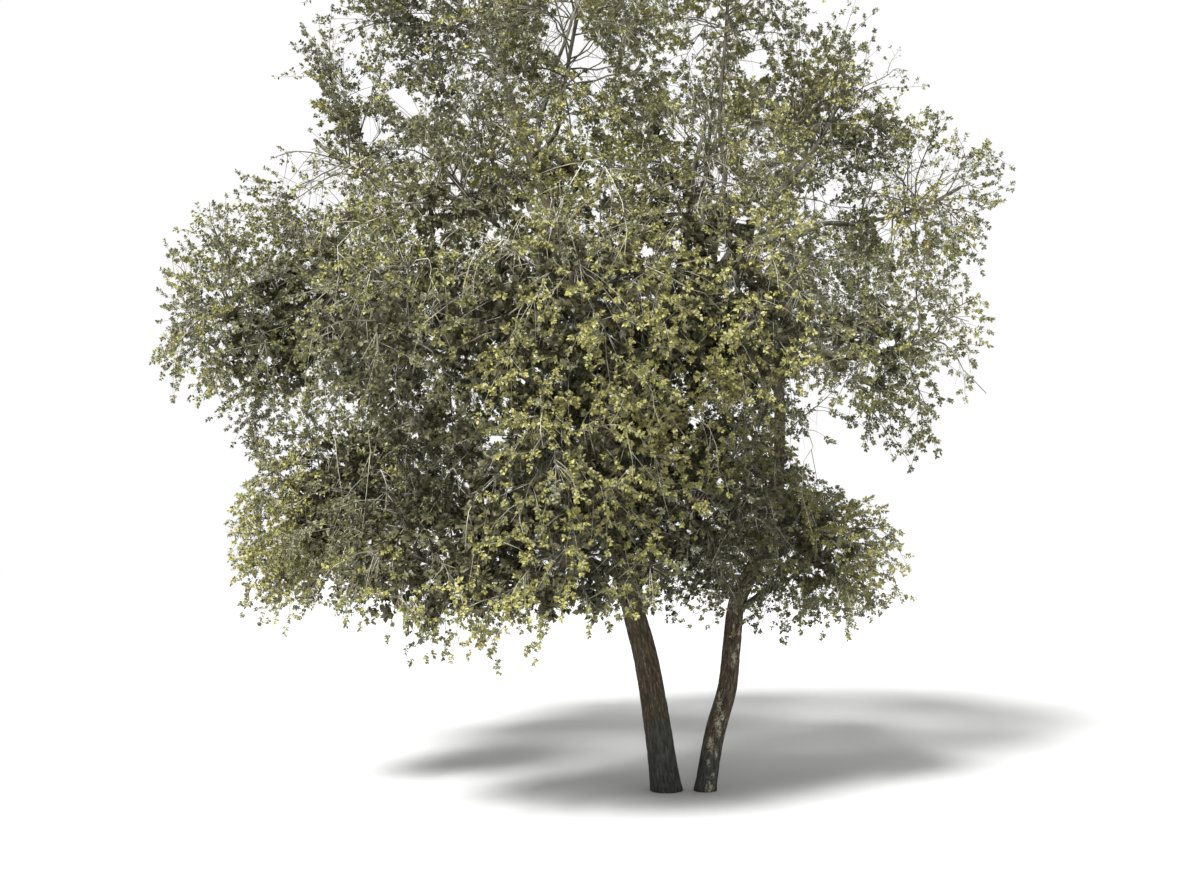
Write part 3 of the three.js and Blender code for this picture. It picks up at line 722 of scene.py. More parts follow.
def in_crown(point, ease=0.0):
    """Whether a point lies among the masses, within the tufted surface of the crown, or a little past it
    by ease, which counts as nearness."""
    away = (((point - mass_centres) / mass_halves) ** 2).sum(axis=1) / FIELD_REACH**2
    nearness = (np.maximum(1 - away, 0) ** 2).sum()
    between = min(max(0.5 - TUFT_EDGE * noise.noise(point / TUFT), 0), 1)
    apart = ((point - swell_middles) ** 2).sum(axis=1) / swell_reaches**2
    nearness += swell_counts @ np.maximum(1 - apart, 0)
    tongue_size, rarity = TONGUES
    tongue = noise.noise((point[0] / tongue_size, point[1] / tongue_size, TONGUE_SLICE)) - rarity
    right, _, above = (point - EYE) / (point[1] - EYE[1]) * FOCAL_PIXELS
    hang = np.interp(right + PHOTO_MIDDLE[0], *HANG) * min(max(TONGUE_EDGE * tongue, 0), 1)
    hem = np.interp(point[0], *HEM) + HEM_WAVE * noise.noise(point / TUFT) - hang
    if (((gap_places - (right, -above)) ** 2).sum(axis=1) < gap_radii**2).any():
        return False
    edge = SKIN + np.interp(point[0], *EDGES) + np.interp(point[2], *TUFT_GAP) * between - ease
    return nearness > edge and point[2] > hem


DEPTH_WAYS = even_directions(count=14, turn=0.3)


def crown_depth(points):
    """How far it is from points to the crown's surface, along the shortest of a few directions."""
    start = (points[:, None] - mass_centres) / mass_halves
    beyond = (start**2).sum(axis=2) - 1
    nearest = np.full(len(points), np.inf)
    for way in DEPTH_WAYS:
        step = way / mass_halves
        square = (step**2).sum(axis=1)
        slant = (start * step).sum(axis=2)
        meets = slant**2 - square * beyond
        out_at = np.where(meets > 0, (np.sqrt(np.maximum(meets, 0)) - slant) / square, 0)
        nearest = np.minimum(nearest, out_at.max(axis=1))
    return nearest


# Branches
# Each mass of leaves hangs on a branch that goes on from its bough's tip, or from a stem's, up through the
# mass. Thinner pale branches leave it for the open sides of the mass and arch towards its edge, and short
# ones leave the boughs and stems where they run through the crown.
STEM_LIFT = 0.35  # how much the branch through a mass turns up
STEM_REACH = 0.4  # how far past the middle it goes, as a share of the space there
STEM_TIP = 0.012
STEM_POINTS = 9
STEM_START = 0.03  # how far back in its bough it starts
BRANCHES = 24  # that a mass starts with, before those that face a neighbour are left out
OPEN_SHARE = 0.62  # no branch goes where a neighbour cuts the space shorter than this
CROWN_FILL = 0.97  # how much of its space a mass reaches through
SHORTER = 0.25  # how much less some branches reach
FEW_SHORTER = 1.5  # the more, the fewer those are
LAG = 0.45  # how far below its tip's level a branch leaves the mass's own, as a share of that one
FIRST_FOOT = 0.15  # no branch leaves it before this share
FIRST_SPREAD = 0.4  # how far the first ones are spread beyond
LAST_FOOT = 0.95
BRANCH_EASE = 0.1  # how far past the crown's surface a branch may end
DRAWN_IN = 0.9  # a tip that is too far out is drawn in by this, again and again
SHORTEST_BRANCH = 0.2  # until it is this near to the middle
BRANCH_ARCH = 0.2  # how far a branch's middle is drawn up, as a share of its length
BRANCH_CROOK = 0.035
BRANCH_POINTS = 8
BRANCH_ROOT = 0.0062
BRANCH_TIP = 0.0021
SIDE_BRANCH_SPACING = 0.16  # of the short branches on the boughs and stems
SIDE_BRANCH_RUN = (0.3, 0.98)  # where on them the first and last leave
SIDE_BRANCH_LENGTH = (0.35, 0.65)
SIDE_BRANCH_LEAN = 0.45
SIDE_BRANCH_RISE = 0.2
SIDE_BRANCH_ARCH = 0.05
LOWEST_BRANCH = 1.2  # no branch of a mass ends below this
LEAFY_HEIGHT = 1.75  # and no short branch of a stem or bough below this


def bezier(start, bend, end, count):
    share = np.linspace(0, 1, count)[:, None]
    return (1 - share) ** 2 * start + 2 * share * (1 - share) * bend + share**2 * end


def path_at(path, share):
    """The point and the heading at a share of the way through a row of points."""
    place = share * (len(path) - 1)
    before = min(int(place), len(path) - 2)
    step = path[before + 1] - path[before]
    return path[before] + step * (place - before), unit(step)


def mass_stem(mass):
    line = mass.limb.line
    start = line.at(1)
    onward = line.heading(1)
    outward = unit(unit(mass.centre - start) + STEM_LIFT * UP)
    end = mass.centre + outward * STEM_REACH * space_reach(mass, outward)
    bend = start + onward * np.linalg.norm(end - start) / 2
    path = bezier(start, bend, end, STEM_POINTS)
    path[0] -= STEM_START * onward
    return path


def crooked(path, rng, size):
    """A path whose inner points wander sideways, by a share of its length."""
    length = np.linalg.norm(path[-1] - path[0])
    wander = rng.normal(size=path.shape) * size * length
    wander[0] = 0
    wander[-1] = 0
    wander[1:-1] = (wander[1:-1] + wander[:-2] + wander[2:]) / 2
    return path + wander


def branch_path(stem, tip, rng):
    along = stem[-1] - stem[0]
    level = (tip - stem[0]) @ along / (along @ along)
    lowest = FIRST_FOOT + FIRST_SPREAD * rng.random()
    foot, _ = path_at(stem, min(max(level - LAG, lowest), LAST_FOOT))
    bend = (foot + tip) / 2 + UP * BRANCH_ARCH * np.linalg.norm(tip - foot)
    return crooked(bezier(foot, bend, tip, BRANCH_POINTS), rng, BRANCH_CROOK)


STEEP = 0.7  # twigs that rise more than this share of their length are ringed another way round


def round_twigs(paths, radii, sides):
    """Corners and faces of many closed twigs at once. paths holds one row of points for each twig."""
    paths = np.array(paths)
    count, length = paths.shape[:2]
    ahead = np.gradient(paths, axis=1)
    whole = paths[:, -1] - paths[:, 0]
    steep = np.abs(whole[:, 2:]) > STEEP * np.linalg.norm(whole, axis=1)[:, None]
    level = np.where(steep, (1, 0, 0), (0, 0, 1))
    side = np.cross(ahead, level[:, None])
    side /= np.linalg.norm(side, axis=2)[:, :, None]
    over = np.cross(side, ahead)
    over /= np.linalg.norm(over, axis=2)[:, :, None]
    angle = (TURN * np.arange(sides) / sides)[None, None, :, None]
    ring = side[:, :, None] * np.cos(angle) - over[:, :, None] * np.sin(angle)
    corners = paths[:, :, None] + np.array(radii)[..., None, None] * ring
    one = []
    for row in range(length - 1):
        for k in range(sides):
            a = row * sides + k
            b = row * sides + (k + 1) % sides
            one += [(a, b, b + sides), (a, b + sides, a + sides)]
    top = (length - 1) * sides
    for k in range(1, sides - 1):
        one += [(0, k + 1, k), (top, top + k, top + k + 1)]
    faces = np.array(one)[None] + (np.arange(count) * length * sides)[:, None, None]
    return corners.reshape(-1, 3), faces.reshape(-1, 3)


def joined_mesh(name, corners, faces, material):
    """One piece of the crown from its corners and its three-sided faces."""
    mesh = bpy.data.meshes.new(name)
    mesh.vertices.add(len(corners))
    mesh.vertices.foreach_set("co", corners.astype(np.float32).ravel())
    mesh.loops.add(faces.size)
    mesh.loops.foreach_set("vertex_index", faces.astype(np.int32).ravel())
    mesh.polygons.add(len(faces))
    mesh.polygons.foreach_set("loop_start", np.arange(0, faces.size, 3, dtype=np.int32))
    mesh.update(calc_edges=True)
    mesh.materials.append(material)
    piece = bpy.data.objects.new(name, mesh)
    bpy.context.scene.collection.objects.link(piece)
    return piece


def stand_for_masses(piece):
    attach(piece, "root")
    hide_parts(*["leaves_" + mass.name for mass in masses])


TWIG_ROUGHNESS = 0.85


def twig_material(name, shade, light):
    """Smooth young bark, blotched lighter and darker along the twigs."""
    material, tree, shader = new_material(name, TWIG_ROUGHNESS)
    place = add_node(tree, "ShaderNodeTexCoord").outputs["Object"]
    blotch = clouds(tree, place, Scale=9, Detail=4, Roughness=0.6)
    rough = clouds(tree, place, Scale=300, Detail=2)
    tree.links.new(bump_of(tree, rough, strength=0.4, distance=0.001), shader["Normal"])
    colour = mix_colours(tree, stretched(tree, blotch, 0.36, 0.62), shade, light)
    tree.links.new(colour, shader["Base Color"])
    return material


stem_paths = []
stem_radii = []
branches = []
for mass in masses:
    rng = np.random.default_rng(mass.seed)
    random = seeded(mass.seed)
    stem = mass_stem(mass)
    stem_paths.append(stem)
    stem_radii.append(taper(mass.limb.radius(1), STEM_TIP)(np.linspace(0, 1, STEM_POINTS)))
    for heading in even_directions(BRANCHES, random() * TURN):
        reach = space_reach(mass, heading)
        if reach * np.linalg.norm(heading / mass.half) < OPEN_SHARE:
            continue
        tip = mass.centre + heading * reach * (CROWN_FILL - SHORTER * rng.random() ** FEW_SHORTER)
        tip[2] = max(tip[2], LOWEST_BRANCH)
        while not in_crown(tip, BRANCH_EASE) and np.linalg.norm(tip - mass.centre) > SHORTEST_BRANCH:
            tip = mass.centre + DRAWN_IN * (tip - mass.centre)
        if in_crown(tip, BRANCH_EASE):
            branches.append(branch_path(stem, tip, rng))

for name, limb in limbs.items():
    millimetres = round(1000 * limb.line.length)
    rng = np.random.default_rng(len(name) + millimetres)
    for share in np.arange(*SIDE_BRANCH_RUN, SIDE_BRANCH_SPACING / limb.line.length):
        foot = limb.line.at(share)
        ahead = limb.line.heading(share)
        across = unit(np.cross(ahead, rng.normal(size=3)))
        way = unit(SIDE_BRANCH_LEAN * ahead + across + SIDE_BRANCH_RISE * UP)
        tip = foot + way * rng.uniform(*SIDE_BRANCH_LENGTH)
        if tip[2] > LEAFY_HEIGHT and in_crown(tip, BRANCH_EASE):
            bend = (foot + tip) / 2 + SIDE_BRANCH_ARCH * UP
            branches.append(crooked(bezier(foot, bend, tip, BRANCH_POINTS), rng, BRANCH_CROOK))

BRANCH_SHADE = (0.06, 0.053, 0.04, 1)
BRANCH_LIGHT = (0.18, 0.163, 0.125, 1)
branch_bark = twig_material("branch_bark", BRANCH_SHADE, BRANCH_LIGHT)
stem_corners, stem_faces = round_twigs(stem_paths, stem_radii, sides=8)
branch_share = np.linspace(0, 1, BRANCH_POINTS)
branch_radii = np.tile(BRANCH_ROOT + (BRANCH_TIP - BRANCH_ROOT) * branch_share, (len(branches), 1))
branch_corners, branch_faces = round_twigs(branches, branch_radii, sides=4)
crown_branches = joined_mesh(
    "crown_branches",
    np.vstack([stem_corners, branch_corners]),
    np.vstack([stem_faces, branch_faces + len(stem_corners)]),
    branch_bark,
)
stand_for_masses(crown_branches)

# Twigs
# Slender pale twigs leave each branch on all sides, and one goes on from its tip. Low in the crown they
# hang. Short leafy shoots crowd at their ends. A few twigs inside the crown are bare, as are long whips in
# its skin, but for their side twigs, and the fine dead twigs that hang among the branches.
TWIGS = 6  # on a branch
TWIG_FIRST = 0.25  # where the first leaves the branch, as a share of it; the last goes on from its tip
TWIG_LENGTH = 0.36
TWIG_SHORTEN = 0.3  # how much shorter they are towards the branch's tip
TWIG_UNEVEN = (0.75, 0.5)  # the shortest one's share of its length, and how much more the longest has
TWIG_LEAN = 0.8  # how much a twig leans along its branch
TWIG_HANG = ((1.4, 4.4), (0.4, 0.06))  # how much twigs hang at two heights, as a share of their length
TWIG_ARCH = 0.06
TWIG_CROOK = 0.035
TWIG_POINTS = 4
TWIG_ROOT = 0.0026
TWIG_END = 0.0012
TRIES = 6  # how often a twig that leaves the crown is shortened
TRY_SHORTER = 0.8
# Twigs further inside the crown than this, at three heights, have large leaves, tinted dark as painted
# shade.
SHADE_DEPTH = ((2.6, 3.4, 4.2), (0.27, 0.45, 1.1))
SHADE_ASIDE = ((1.2, 2.4), (0.0, 0.3))  # the painted shade reaches less far in the lobes at the sides, so they are lighter inside
LOW_SHOOTS = np.linspace(0.35, 1, 6)
OUTER_SHOOTS = np.linspace(0.5, 1, 4)
HIGH_SHOOTS = np.linspace(0.7, 1, 3)
INNER_SHOOTS = np.linspace(0.3, 1, 4)
WHIP_SHOOTS = np.linspace(0.8, 1, 2)
LOW = ((1.8, 2.8), (0.9, 0.1))  # the share of outer twigs with many shoots, at two heights
HIGH = ((2.8, 4.4, 5.2), (0.0, 0.55, 0.95))  # and of the rest, those with few, at three
INNER_BARE = 0.06  # the share of inner twigs that are bare
SHOOT_LENGTH = 0.055
SHOOT_UNEVEN = (0.65, 0.7)  # as for the twigs
SHOOT_ROOT = 0.0013
SHOOT_ROLL = 0.5  # how much the plane wavers in which a twig's shoots lie
SHOOT_LEAN = 0.7
SHOOT_LIFT = 0.4
WHIPS = 0.95  # the share of branches with a long pale whip that arches out and hangs in front of the leaves
WHIP_HEIGHTS = (1.7, 3.7)
WHIP_DEPTH = 0.4  # a whip's root is no further inside the crown
WHIP_ASIDE = 1.5  # and its tip no further to the side
WHIP_EASE = 0.12  # how far past the crown's surface it may hang
WHIP_FOOT = (0.6, 0.95)  # where it leaves its branch
WHIP_LENGTH = (0.4, 1.0)
WHIP_LEVEL = (1, 1, 0.3)  # how it keeps its branch's heading, sideways and up
WHIP_STRAY = 0.25
WHIP_TIP = (0.55, 0.65)  # how far out it ends and how far down, as shares of its length
WHIP_BEND = (0.45, 0.1)  # how far out it bends and how far up
WHIP_CROOK = 0.05
WHIP_POINTS = 8
WHIP_THICKER = 1.3  # than a twig
WHIP_SIDES = np.linspace(0.3, 0.9, 5)  # where side twigs leave it
WHIP_SIDE_LENGTH = (0.1, 0.26)
WHIP_SIDE_SPREAD = 0.9
WHIP_SIDE_ARCH = 0.02
WHIP_SIDE_CROOK = 0.04
DEAD_TWIGS = 6  # on a branch
DEAD_FOOT = (0.15, 0.9)
DEAD_LENGTH = (0.1, 0.3)
DEAD_SPREAD = 0.45
DEAD_ROOT = 0.0016
LOWEST_DEAD = 1.05
OPEN_PLACES = 140000  # places in the crown where room for one more twig is looked for
OPEN_ROOM = ((0.25, 0.7), (0.13, 0.2))  # how far other twigs' tips must be, at two depths
OPEN_HIGH = ((3.8, 5.4), (1.03, 1.14))  # times as far, high in the crown
OPEN_ASIDE = ((1.2, 1.9), (1.0, 0.85))  # and less far apart in the lobes at the sides
CROWDED = [  # where the twigs crowd: middle, size, and how much less room they need (below 0: more)
    ((-2.2, -0.4, 1.6), 0.8, 0.35), ((-2.9, 0.0, 3.2), 0.7, 0.3), ((1.15, -0.2, 4.15), 0.8, 0.25),
    ((-1.8, 0.0, 5.0), 0.9, 0.25), ((0.9, 0.0, 5.0), 0.8, 0.2), ((-0.3, -1.8, 2.4), 0.9, 0.4),
    ((0.7, -0.35, 2.35), 0.4, 0.5), ((0.0, 0.0, 4.4), 0.9, 0.3), ((0.15, -0.8, 1.25), 0.6, 0.4),
    ((-2.3, -0.5, 1.25), 0.5, 0.35), ((0.1, -1.6, 2.15), 0.6, 0.4), ((0.35, -1.6, 2.6), 0.5, 0.35),
    ((-1.35, 0.2, 3.5), 0.9, -0.7), ((0.5, 0.3, 3.3), 0.9, -0.7), ((-0.45, 0.4, 4.2), 0.9, -0.6),
    ((-0.6, 0.7, 2.4), 0.8, -0.5),
]
OPEN_REACH = 0.8  # how far from its branch such a twig may end
OPEN_ARCH = 0.08
CLUMP = (0.42, 0.85, 0.42)  # size of the clumps that twigs and leaves gather in, high in the crown
CLUMPED = ((3.2, 4.3), (0.0, 1.8))  # how strongly they do at two heights
CLUMP_ROOM = 0.6  # how much less room a twig needs in a clump


def shade_depth(x, z):
    """How far inside the crown's surface the painted shade of the leaves begins."""
    return np.interp(z, *SHADE_DEPTH) + np.interp(abs(x - CROWN_AXIS_X), *SHADE_ASIDE)


def clumps(points):
    """How much leafier the crown is at some points than at its height on the whole."""
    leafier = np.array([noise.noise(point / CLUMP) for point in points])
    return leafier * np.interp(points[:, 2], *CLUMPED)


def twig_path(root, way, length, hang, rng):
    """A twig's row of points, shortened until it stays in the crown, or nothing."""
    for _ in range(TRIES):
        tip = root + way * length - UP * hang * length
        if in_crown(tip):
            bend = root + way * length / 2 + UP * TWIG_ARCH * length
            return crooked(bezier(root, bend, tip, TWIG_POINTS), rng, TWIG_CROOK)
        length *= TRY_SHORTER
    return None


def shoots_of(path, shares, rng):
    """Roots, headings and lengths of the leafy shoots of one twig."""
    found = []
    shortest, longer = SHOOT_UNEVEN
    side = 1 if rng.random() < 0.5 else -1
    for share in shares:
        side = -side
        root, heading = path_at(path, share)
        flat = unit(np.cross(heading, UP + rng.normal(size=3) * SHOOT_ROLL))
        if share < 1:
            heading = unit(SHOOT_LEAN * heading + side * flat + UP * SHOOT_LIFT * rng.normal())
        found.append((root, heading, SHOOT_LENGTH * (shortest + longer * rng.random())))
    return found


twig_paths = []
shoots = []
shoot_twig = []  # the number of the twig that carries each shoot


def add_twig(path, shares, rng):
    """Keeps a twig and its shoots."""
    leafy = shoots_of(path, shares, rng)
    shoots.extend(leafy)
    shoot_twig.extend([len(twig_paths)] * len(leafy))
    twig_paths.append(path)


def leafy_shares(tip, depth, rng):
    """Where along a twig its shoots leave it, by how deep and how high in the crown it ends."""
    if depth > shade_depth(tip[0], tip[2]):
        return [] if rng.random() < INNER_BARE else INNER_SHOOTS
    if rng.random() < np.interp(tip[2], *LOW):
        return LOW_SHOOTS
    return HIGH_SHOOTS if rng.random() < np.interp(tip[2], *HIGH) else OUTER_SHOOTS


rng = np.random.default_rng(5)
whip_paths = []
dead_twigs = []
shortest, longer = TWIG_UNEVEN
for branch in branches:
    for share in np.linspace(TWIG_FIRST, 1, TWIGS):
        root, ahead = path_at(branch, share)
        across = unit(np.cross(ahead, rng.normal(size=3)))
        way = ahead if share == 1 else unit(TWIG_LEAN * ahead + across)
        length = TWIG_LENGTH * (1 - TWIG_SHORTEN * share) * (shortest + longer * rng.random())
        path = twig_path(root, way, length, np.interp(root[2], *TWIG_HANG), rng)
        if path is None:
            continue
        add_twig(path, leafy_shares(path[-1], crown_depth(path[-1:])[0], rng), rng)
    root, ahead = path_at(branch, rng.uniform(*WHIP_FOOT))
    if rng.random() < WHIPS and WHIP_HEIGHTS[0] < root[2] < WHIP_HEIGHTS[1]:
        length = rng.uniform(*WHIP_LENGTH)
        out = unit(ahead * WHIP_LEVEL + rng.normal(size=3) * WHIP_STRAY)
        tip = root + WHIP_TIP[0] * length * out - UP * WHIP_TIP[1] * length
        bend = root + WHIP_BEND[0] * length * out + UP * WHIP_BEND[1] * length
        whip = crooked(bezier(root, bend, tip, WHIP_POINTS), rng, WHIP_CROOK)
        held = tip[1] > cad_low[1] and abs(tip[0] - CROWN_AXIS_X) < WHIP_ASIDE
        if held and crown_depth(root[None])[0] < WHIP_DEPTH and in_crown(tip, WHIP_EASE):
            whip_paths.append(whip)
            for share in WHIP_SIDES:
                root, ahead = path_at(whip, share)
                way = unit(ahead + WHIP_SIDE_SPREAD * unit(np.cross(ahead, rng.normal(size=3))))
                tip = root + way * rng.uniform(*WHIP_SIDE_LENGTH)
                tip[1] = max(tip[1], cad_low[1])
                bend = (root + tip) / 2 + WHIP_SIDE_ARCH * UP
                side_path = crooked(bezier(root, bend, tip, TWIG_POINTS), rng, WHIP_SIDE_CROOK)
                add_twig(side_path, WHIP_SHOOTS, rng)
    for share in rng.uniform(*DEAD_FOOT, DEAD_TWIGS):
        root, _ = path_at(branch, share)
        way = unit(rng.normal(size=3) * DEAD_SPREAD - UP)
        dead_twigs.append((root, way, min(rng.uniform(*DEAD_LENGTH), root[2] - LOWEST_DEAD)))


def nearest_of(points):
    found = kdtree.KDTree(len(points))
    for index, point in enumerate(points):
        found.insert(point, index)
    found.balance()
    return found


# More twigs grow from the nearest branch into the places that are still open. Each leaves it one point
# back from the one that is nearest.
SKIPPED = 2  # points at a branch's foot, where none grows
per_branch = BRANCH_POINTS - SKIPPED
on_branches = nearest_of([point for branch in branches for point in branch[SKIPPED:]])
twig_ends = nearest_of([path[-1] for path in twig_paths])
places = rng.uniform(cad_low, cad_high, (OPEN_PLACES, 3))
new_ends = np.zeros((OPEN_PLACES, 3))
grown = 0
for place, depth, leafier in zip(places, crown_depth(places), clumps(places)):
    room = np.interp(depth, *OPEN_ROOM) * np.interp(place[2], *OPEN_HIGH) * (1 - CLUMP_ROOM * leafier)
    room *= np.interp(abs(place[0] - CROWN_AXIS_X), *OPEN_ASIDE)
    for middle, reach, less in CROWDED:
        room *= 1 - less * max(1 - ((place - middle) ** 2).sum() / reach**2, 0)
    if not in_crown(place) or twig_ends.find(place)[2] < room:
        continue
    if grown and np.linalg.norm(new_ends[:grown] - place, axis=1).min() < room:
        continue
    _, index, away = on_branches.find(place)
    if away > OPEN_REACH:
        continue
    branch = branches[index // per_branch]
    root = branch[SKIPPED + index % per_branch - 1]
    bend = (root + place) / 2 + UP * OPEN_ARCH * np.linalg.norm(place - root)
    path = crooked(bezier(root, bend, place, TWIG_POINTS), rng, TWIG_CROOK)
    add_twig(path, leafy_shares(place, depth, rng), rng)
    new_ends[grown] = place
    grown += 1

HIGH_TWIGS = 3.6  # above this height the twigs get a darker copy of the twig colours, painted shade for twigs seen dark against the sky
TWIG_SHADE = (0.12, 0.107, 0.08, 1)
TWIG_LIGHT = (0.46, 0.44, 0.345, 1)
HIGH_TWIG_SHADE = (0.06, 0.053, 0.04, 1)
HIGH_TWIG_LIGHT = (0.25, 0.235, 0.18, 1)
WHIP_SHADE = (0.3, 0.28, 0.21, 1)
WHIP_LIGHT = (0.62, 0.6, 0.48, 1)
twig_bark = twig_material("twig_bark", TWIG_SHADE, TWIG_LIGHT)
high_twig_bark = twig_material("high_twig_bark", HIGH_TWIG_SHADE, HIGH_TWIG_LIGHT)
whip_bark = twig_material("whip_bark", WHIP_SHADE, WHIP_LIGHT)
twig_paths = np.array(twig_paths)
high = twig_paths[:, -1, 2] > HIGH_TWIGS
twig_radii = np.tile(np.linspace(TWIG_ROOT, TWIG_END, TWIG_POINTS), (len(twig_paths), 1))
for name, chosen, bark in (("crown_twigs", ~high, twig_bark), ("crown_high_twigs", high, high_twig_bark)):
    corners, faces = round_twigs(twig_paths[chosen], twig_radii[chosen], sides=3)
    stand_for_masses(joined_mesh(name, corners, faces, bark))

whip_taper = np.linspace(TWIG_ROOT * WHIP_THICKER, TWIG_END, WHIP_POINTS)
corners, faces = round_twigs(whip_paths, np.tile(whip_taper, (len(whip_paths), 1)), sides=4)
stand_for_masses(joined_mesh("crown_whips", corners, faces, whip_bark))

UPRIGHT = 0.8  # headings that rise more than this are crossed another way


def across_of(ways):
    """A direction square to each heading."""
    helper = np.where(np.abs(ways[:, 2:]) > UPRIGHT, (1.0, 0, 0), (0, 0, 1.0))
    side = np.cross(ways, helper)
    return side / np.linalg.norm(side, axis=1)[:, None]


def pointed_shoots(roots, ways, lengths, radius):
    """Corners and faces of many shoots, each a three-sided spike."""
    side = across_of(ways)
    over = np.cross(side, ways)
    angle = (TURN * np.arange(3) / 3)[None, :, None]
    ring = roots[:, None] + radius * (side[:, None] * np.cos(angle) - over[:, None] * np.sin(angle))
    corners = np.concatenate([ring, (roots + ways * lengths[:, None])[:, None]], axis=1)
    one = np.array([(0, 1, 3), (1, 2, 3), (2, 0, 3), (0, 2, 1)])
    faces = one[None] + (4 * np.arange(len(roots)))[:, None, None]
    return corners.reshape(-1, 3), faces.reshape(-1, 3)


shoot_roots = np.array([shoot[0] for shoot in shoots])
shoot_ways = np.array([shoot[1] for shoot in shoots])
shoot_lengths = np.array([shoot[2] for shoot in shoots])
shoot_depth = crown_depth(shoot_roots)
outer = shoot_depth < shade_depth(shoot_roots[:, 0], shoot_roots[:, 2])
high_shoots = high[shoot_twig]
# Shoots high in the crown carry the same painted shade as the high twigs.
for name, chosen, bark in (
    ("crown_shoots", outer & ~high_shoots, twig_bark),
    ("crown_high_shoots", outer & high_shoots, high_twig_bark),
):
    corners, faces = pointed_shoots(
        shoot_roots[chosen], shoot_ways[chosen], shoot_lengths[chosen], SHOOT_ROOT
    )
    stand_for_masses(joined_mesh(name, corners, faces, bark))

corners, faces = pointed_shoots(*[np.array(column) for column in zip(*dead_twigs)], DEAD_ROOT)
stand_for_masses(joined_mesh("crown_dead_twigs", corners, faces, whip_bark))

# Leaves
# Small stiff evergreen leaves, folded a little along the midrib. They stand all round the outer part of
# each shoot. The leaves of one twig have one tint, from yellow-olive to grey-green. The leaves inside
# the crown are larger, and their darker tint is painted shade.
LEAF_LENGTH = ((0.25, 0.5, 0.9), (0.022, 0.0275, 0.037))  # at three depths inside the crown
SHADE_LEAF_LENGTH = ((0.3, 0.7), (0.04, 0.058))  # in its shade, at two
LEAF_UNEVEN = (0.7, 0.55)  # the smallest one's share of its length, and how much more the largest has
LEAF_SHARE = ((2.0, 4.5), (0.9, 0.78))  # how many of its leaves a shoot still has, at two heights
LEAVES = 15  # on a shoot
INNER_LEAVES = 13  # on one in the shade
LEAF_FOOT = (0.3, 0.74)  # where on the shoot the leaves begin, and over how much of it they go on
FOOT_SCATTER = 0.05
TURN_SCATTER = 0.3
LEAF_LEAN = (0.25, 0.75)  # how much a leaf leans along the shoot at its foot, and how much more at its tip
LEAN_SCATTER = 0.16
LEAF_FACING = (0.8, 0.4)  # how much its upper side is turned up, and how much towards the shoot's tip
FACING_SCATTER = 0.5
LEAF_CORNERS = np.array([  # along the leaf, across it and up, as shares of its length
    (0, 0, 0), (1, 0, -0.06), (0.46, 0.36, 0.1), (0.46, -0.36, 0.1),
])
LEAF_FACES = np.array([(0, 1, 2), (0, 3, 1)])
# The shade leaves' dark tint is painted shade, for the crown's shaded inside.
SHADE_TINT = ("shade_olive", (0.108, 0.103, 0.052), (0.132, 0.127, 0.077))
TINTS = [  # name, upper side, underside
    ("yellow_olive", (0.355, 0.34, 0.115), (0.31, 0.3, 0.14)),
    ("bright_olive", (0.285, 0.28, 0.088), (0.27, 0.265, 0.125)),
    ("soft_olive", (0.225, 0.22, 0.075), (0.22, 0.22, 0.112)),
    ("mid_olive", (0.175, 0.172, 0.058), (0.195, 0.195, 0.107)),
    ("deep_olive", (0.115, 0.113, 0.046), (0.147, 0.147, 0.088)),
    ("dusty_olive", (0.215, 0.213, 0.122), (0.225, 0.225, 0.165)),
    ("dark_olive", (0.068, 0.064, 0.03), (0.075, 0.072, 0.042)),
]
DUSTY = 5  # the dusty tint's number; those before it are dealt out by patches, and the painted-shade one by place
GREY_TINT_AND_PAINTED_LIGHT_ASIDE = ((1.2, 2.4), (0.06, 0.4))  # the share of twigs whose leaves take the lighter grey tint, towards the sides, where it is painted light on the lit lobes
PAINTED_LIGHT_HIGH = ((3.8, 5.4), (0.0, 0.2))  # and how much more of them are high in the crown, as painted light on the top
PAINTED_SHADE_PLACES = [((0.12, -0.9, 1.5), 0.75), ((-1.4, -1.35, 1.85), 0.6)]  # painted shade under the crown's middle and in the hollow at the front left: middle and size
PAINTED_SHADE_SHARE = 1.4  # how many leaves get the painted-shade tint in their middle (1 and above: all)

rng = np.random.default_rng(11)
number = np.arange(LEAVES)
total = len(shoots)
each = (total, LEAVES)
first, run = LEAF_FOOT
place = (first + run * (number + 0.5) / LEAVES)[None, :] + rng.normal(size=each) * FOOT_SCATTER
turn = GOLDEN * number[None, :] + rng.random((total, 1)) * TURN + rng.normal(size=each) * TURN_SCATTER
place = np.clip(place, 0, 1)
side = across_of(shoot_ways)
over = np.cross(side, shoot_ways)
radial = side[:, None] * np.cos(turn)[..., None] + over[:, None] * np.sin(turn)[..., None]
least, more = LEAF_LEAN
lean = least + more * place**2
heading = radial + shoot_ways[:, None] * lean[..., None] + rng.normal(size=radial.shape) * LEAN_SCATTER
heading /= np.linalg.norm(heading, axis=2)[..., None]
base = shoot_roots[:, None] + shoot_ways[:, None] * (shoot_lengths[:, None] * place)[..., None]
upwards, onwards = LEAF_FACING
facing = upwards * UP + shoot_ways[:, None] * onwards + rng.normal(size=radial.shape) * FACING_SCATTER
facing -= heading * np.sum(facing * heading, axis=2)[..., None]
facing /= np.linalg.norm(facing, axis=2)[..., None]
across = np.cross(facing, heading)
skin_length = np.interp(shoot_depth, *LEAF_LENGTH)
leaf_length = np.where(outer, skin_length, np.interp(shoot_depth, *SHADE_LEAF_LENGTH))
smallest, larger = LEAF_UNEVEN
size = leaf_length[:, None] * (smallest + larger * rng.random(each))
leaf = (
    heading[:, :, None] * LEAF_CORNERS[:, 0, None]
    + across[:, :, None] * LEAF_CORNERS[:, 1, None]
    + facing[:, :, None] * LEAF_CORNERS[:, 2, None]
)
leaf = base[:, :, None] + leaf * size[:, :, None, None]

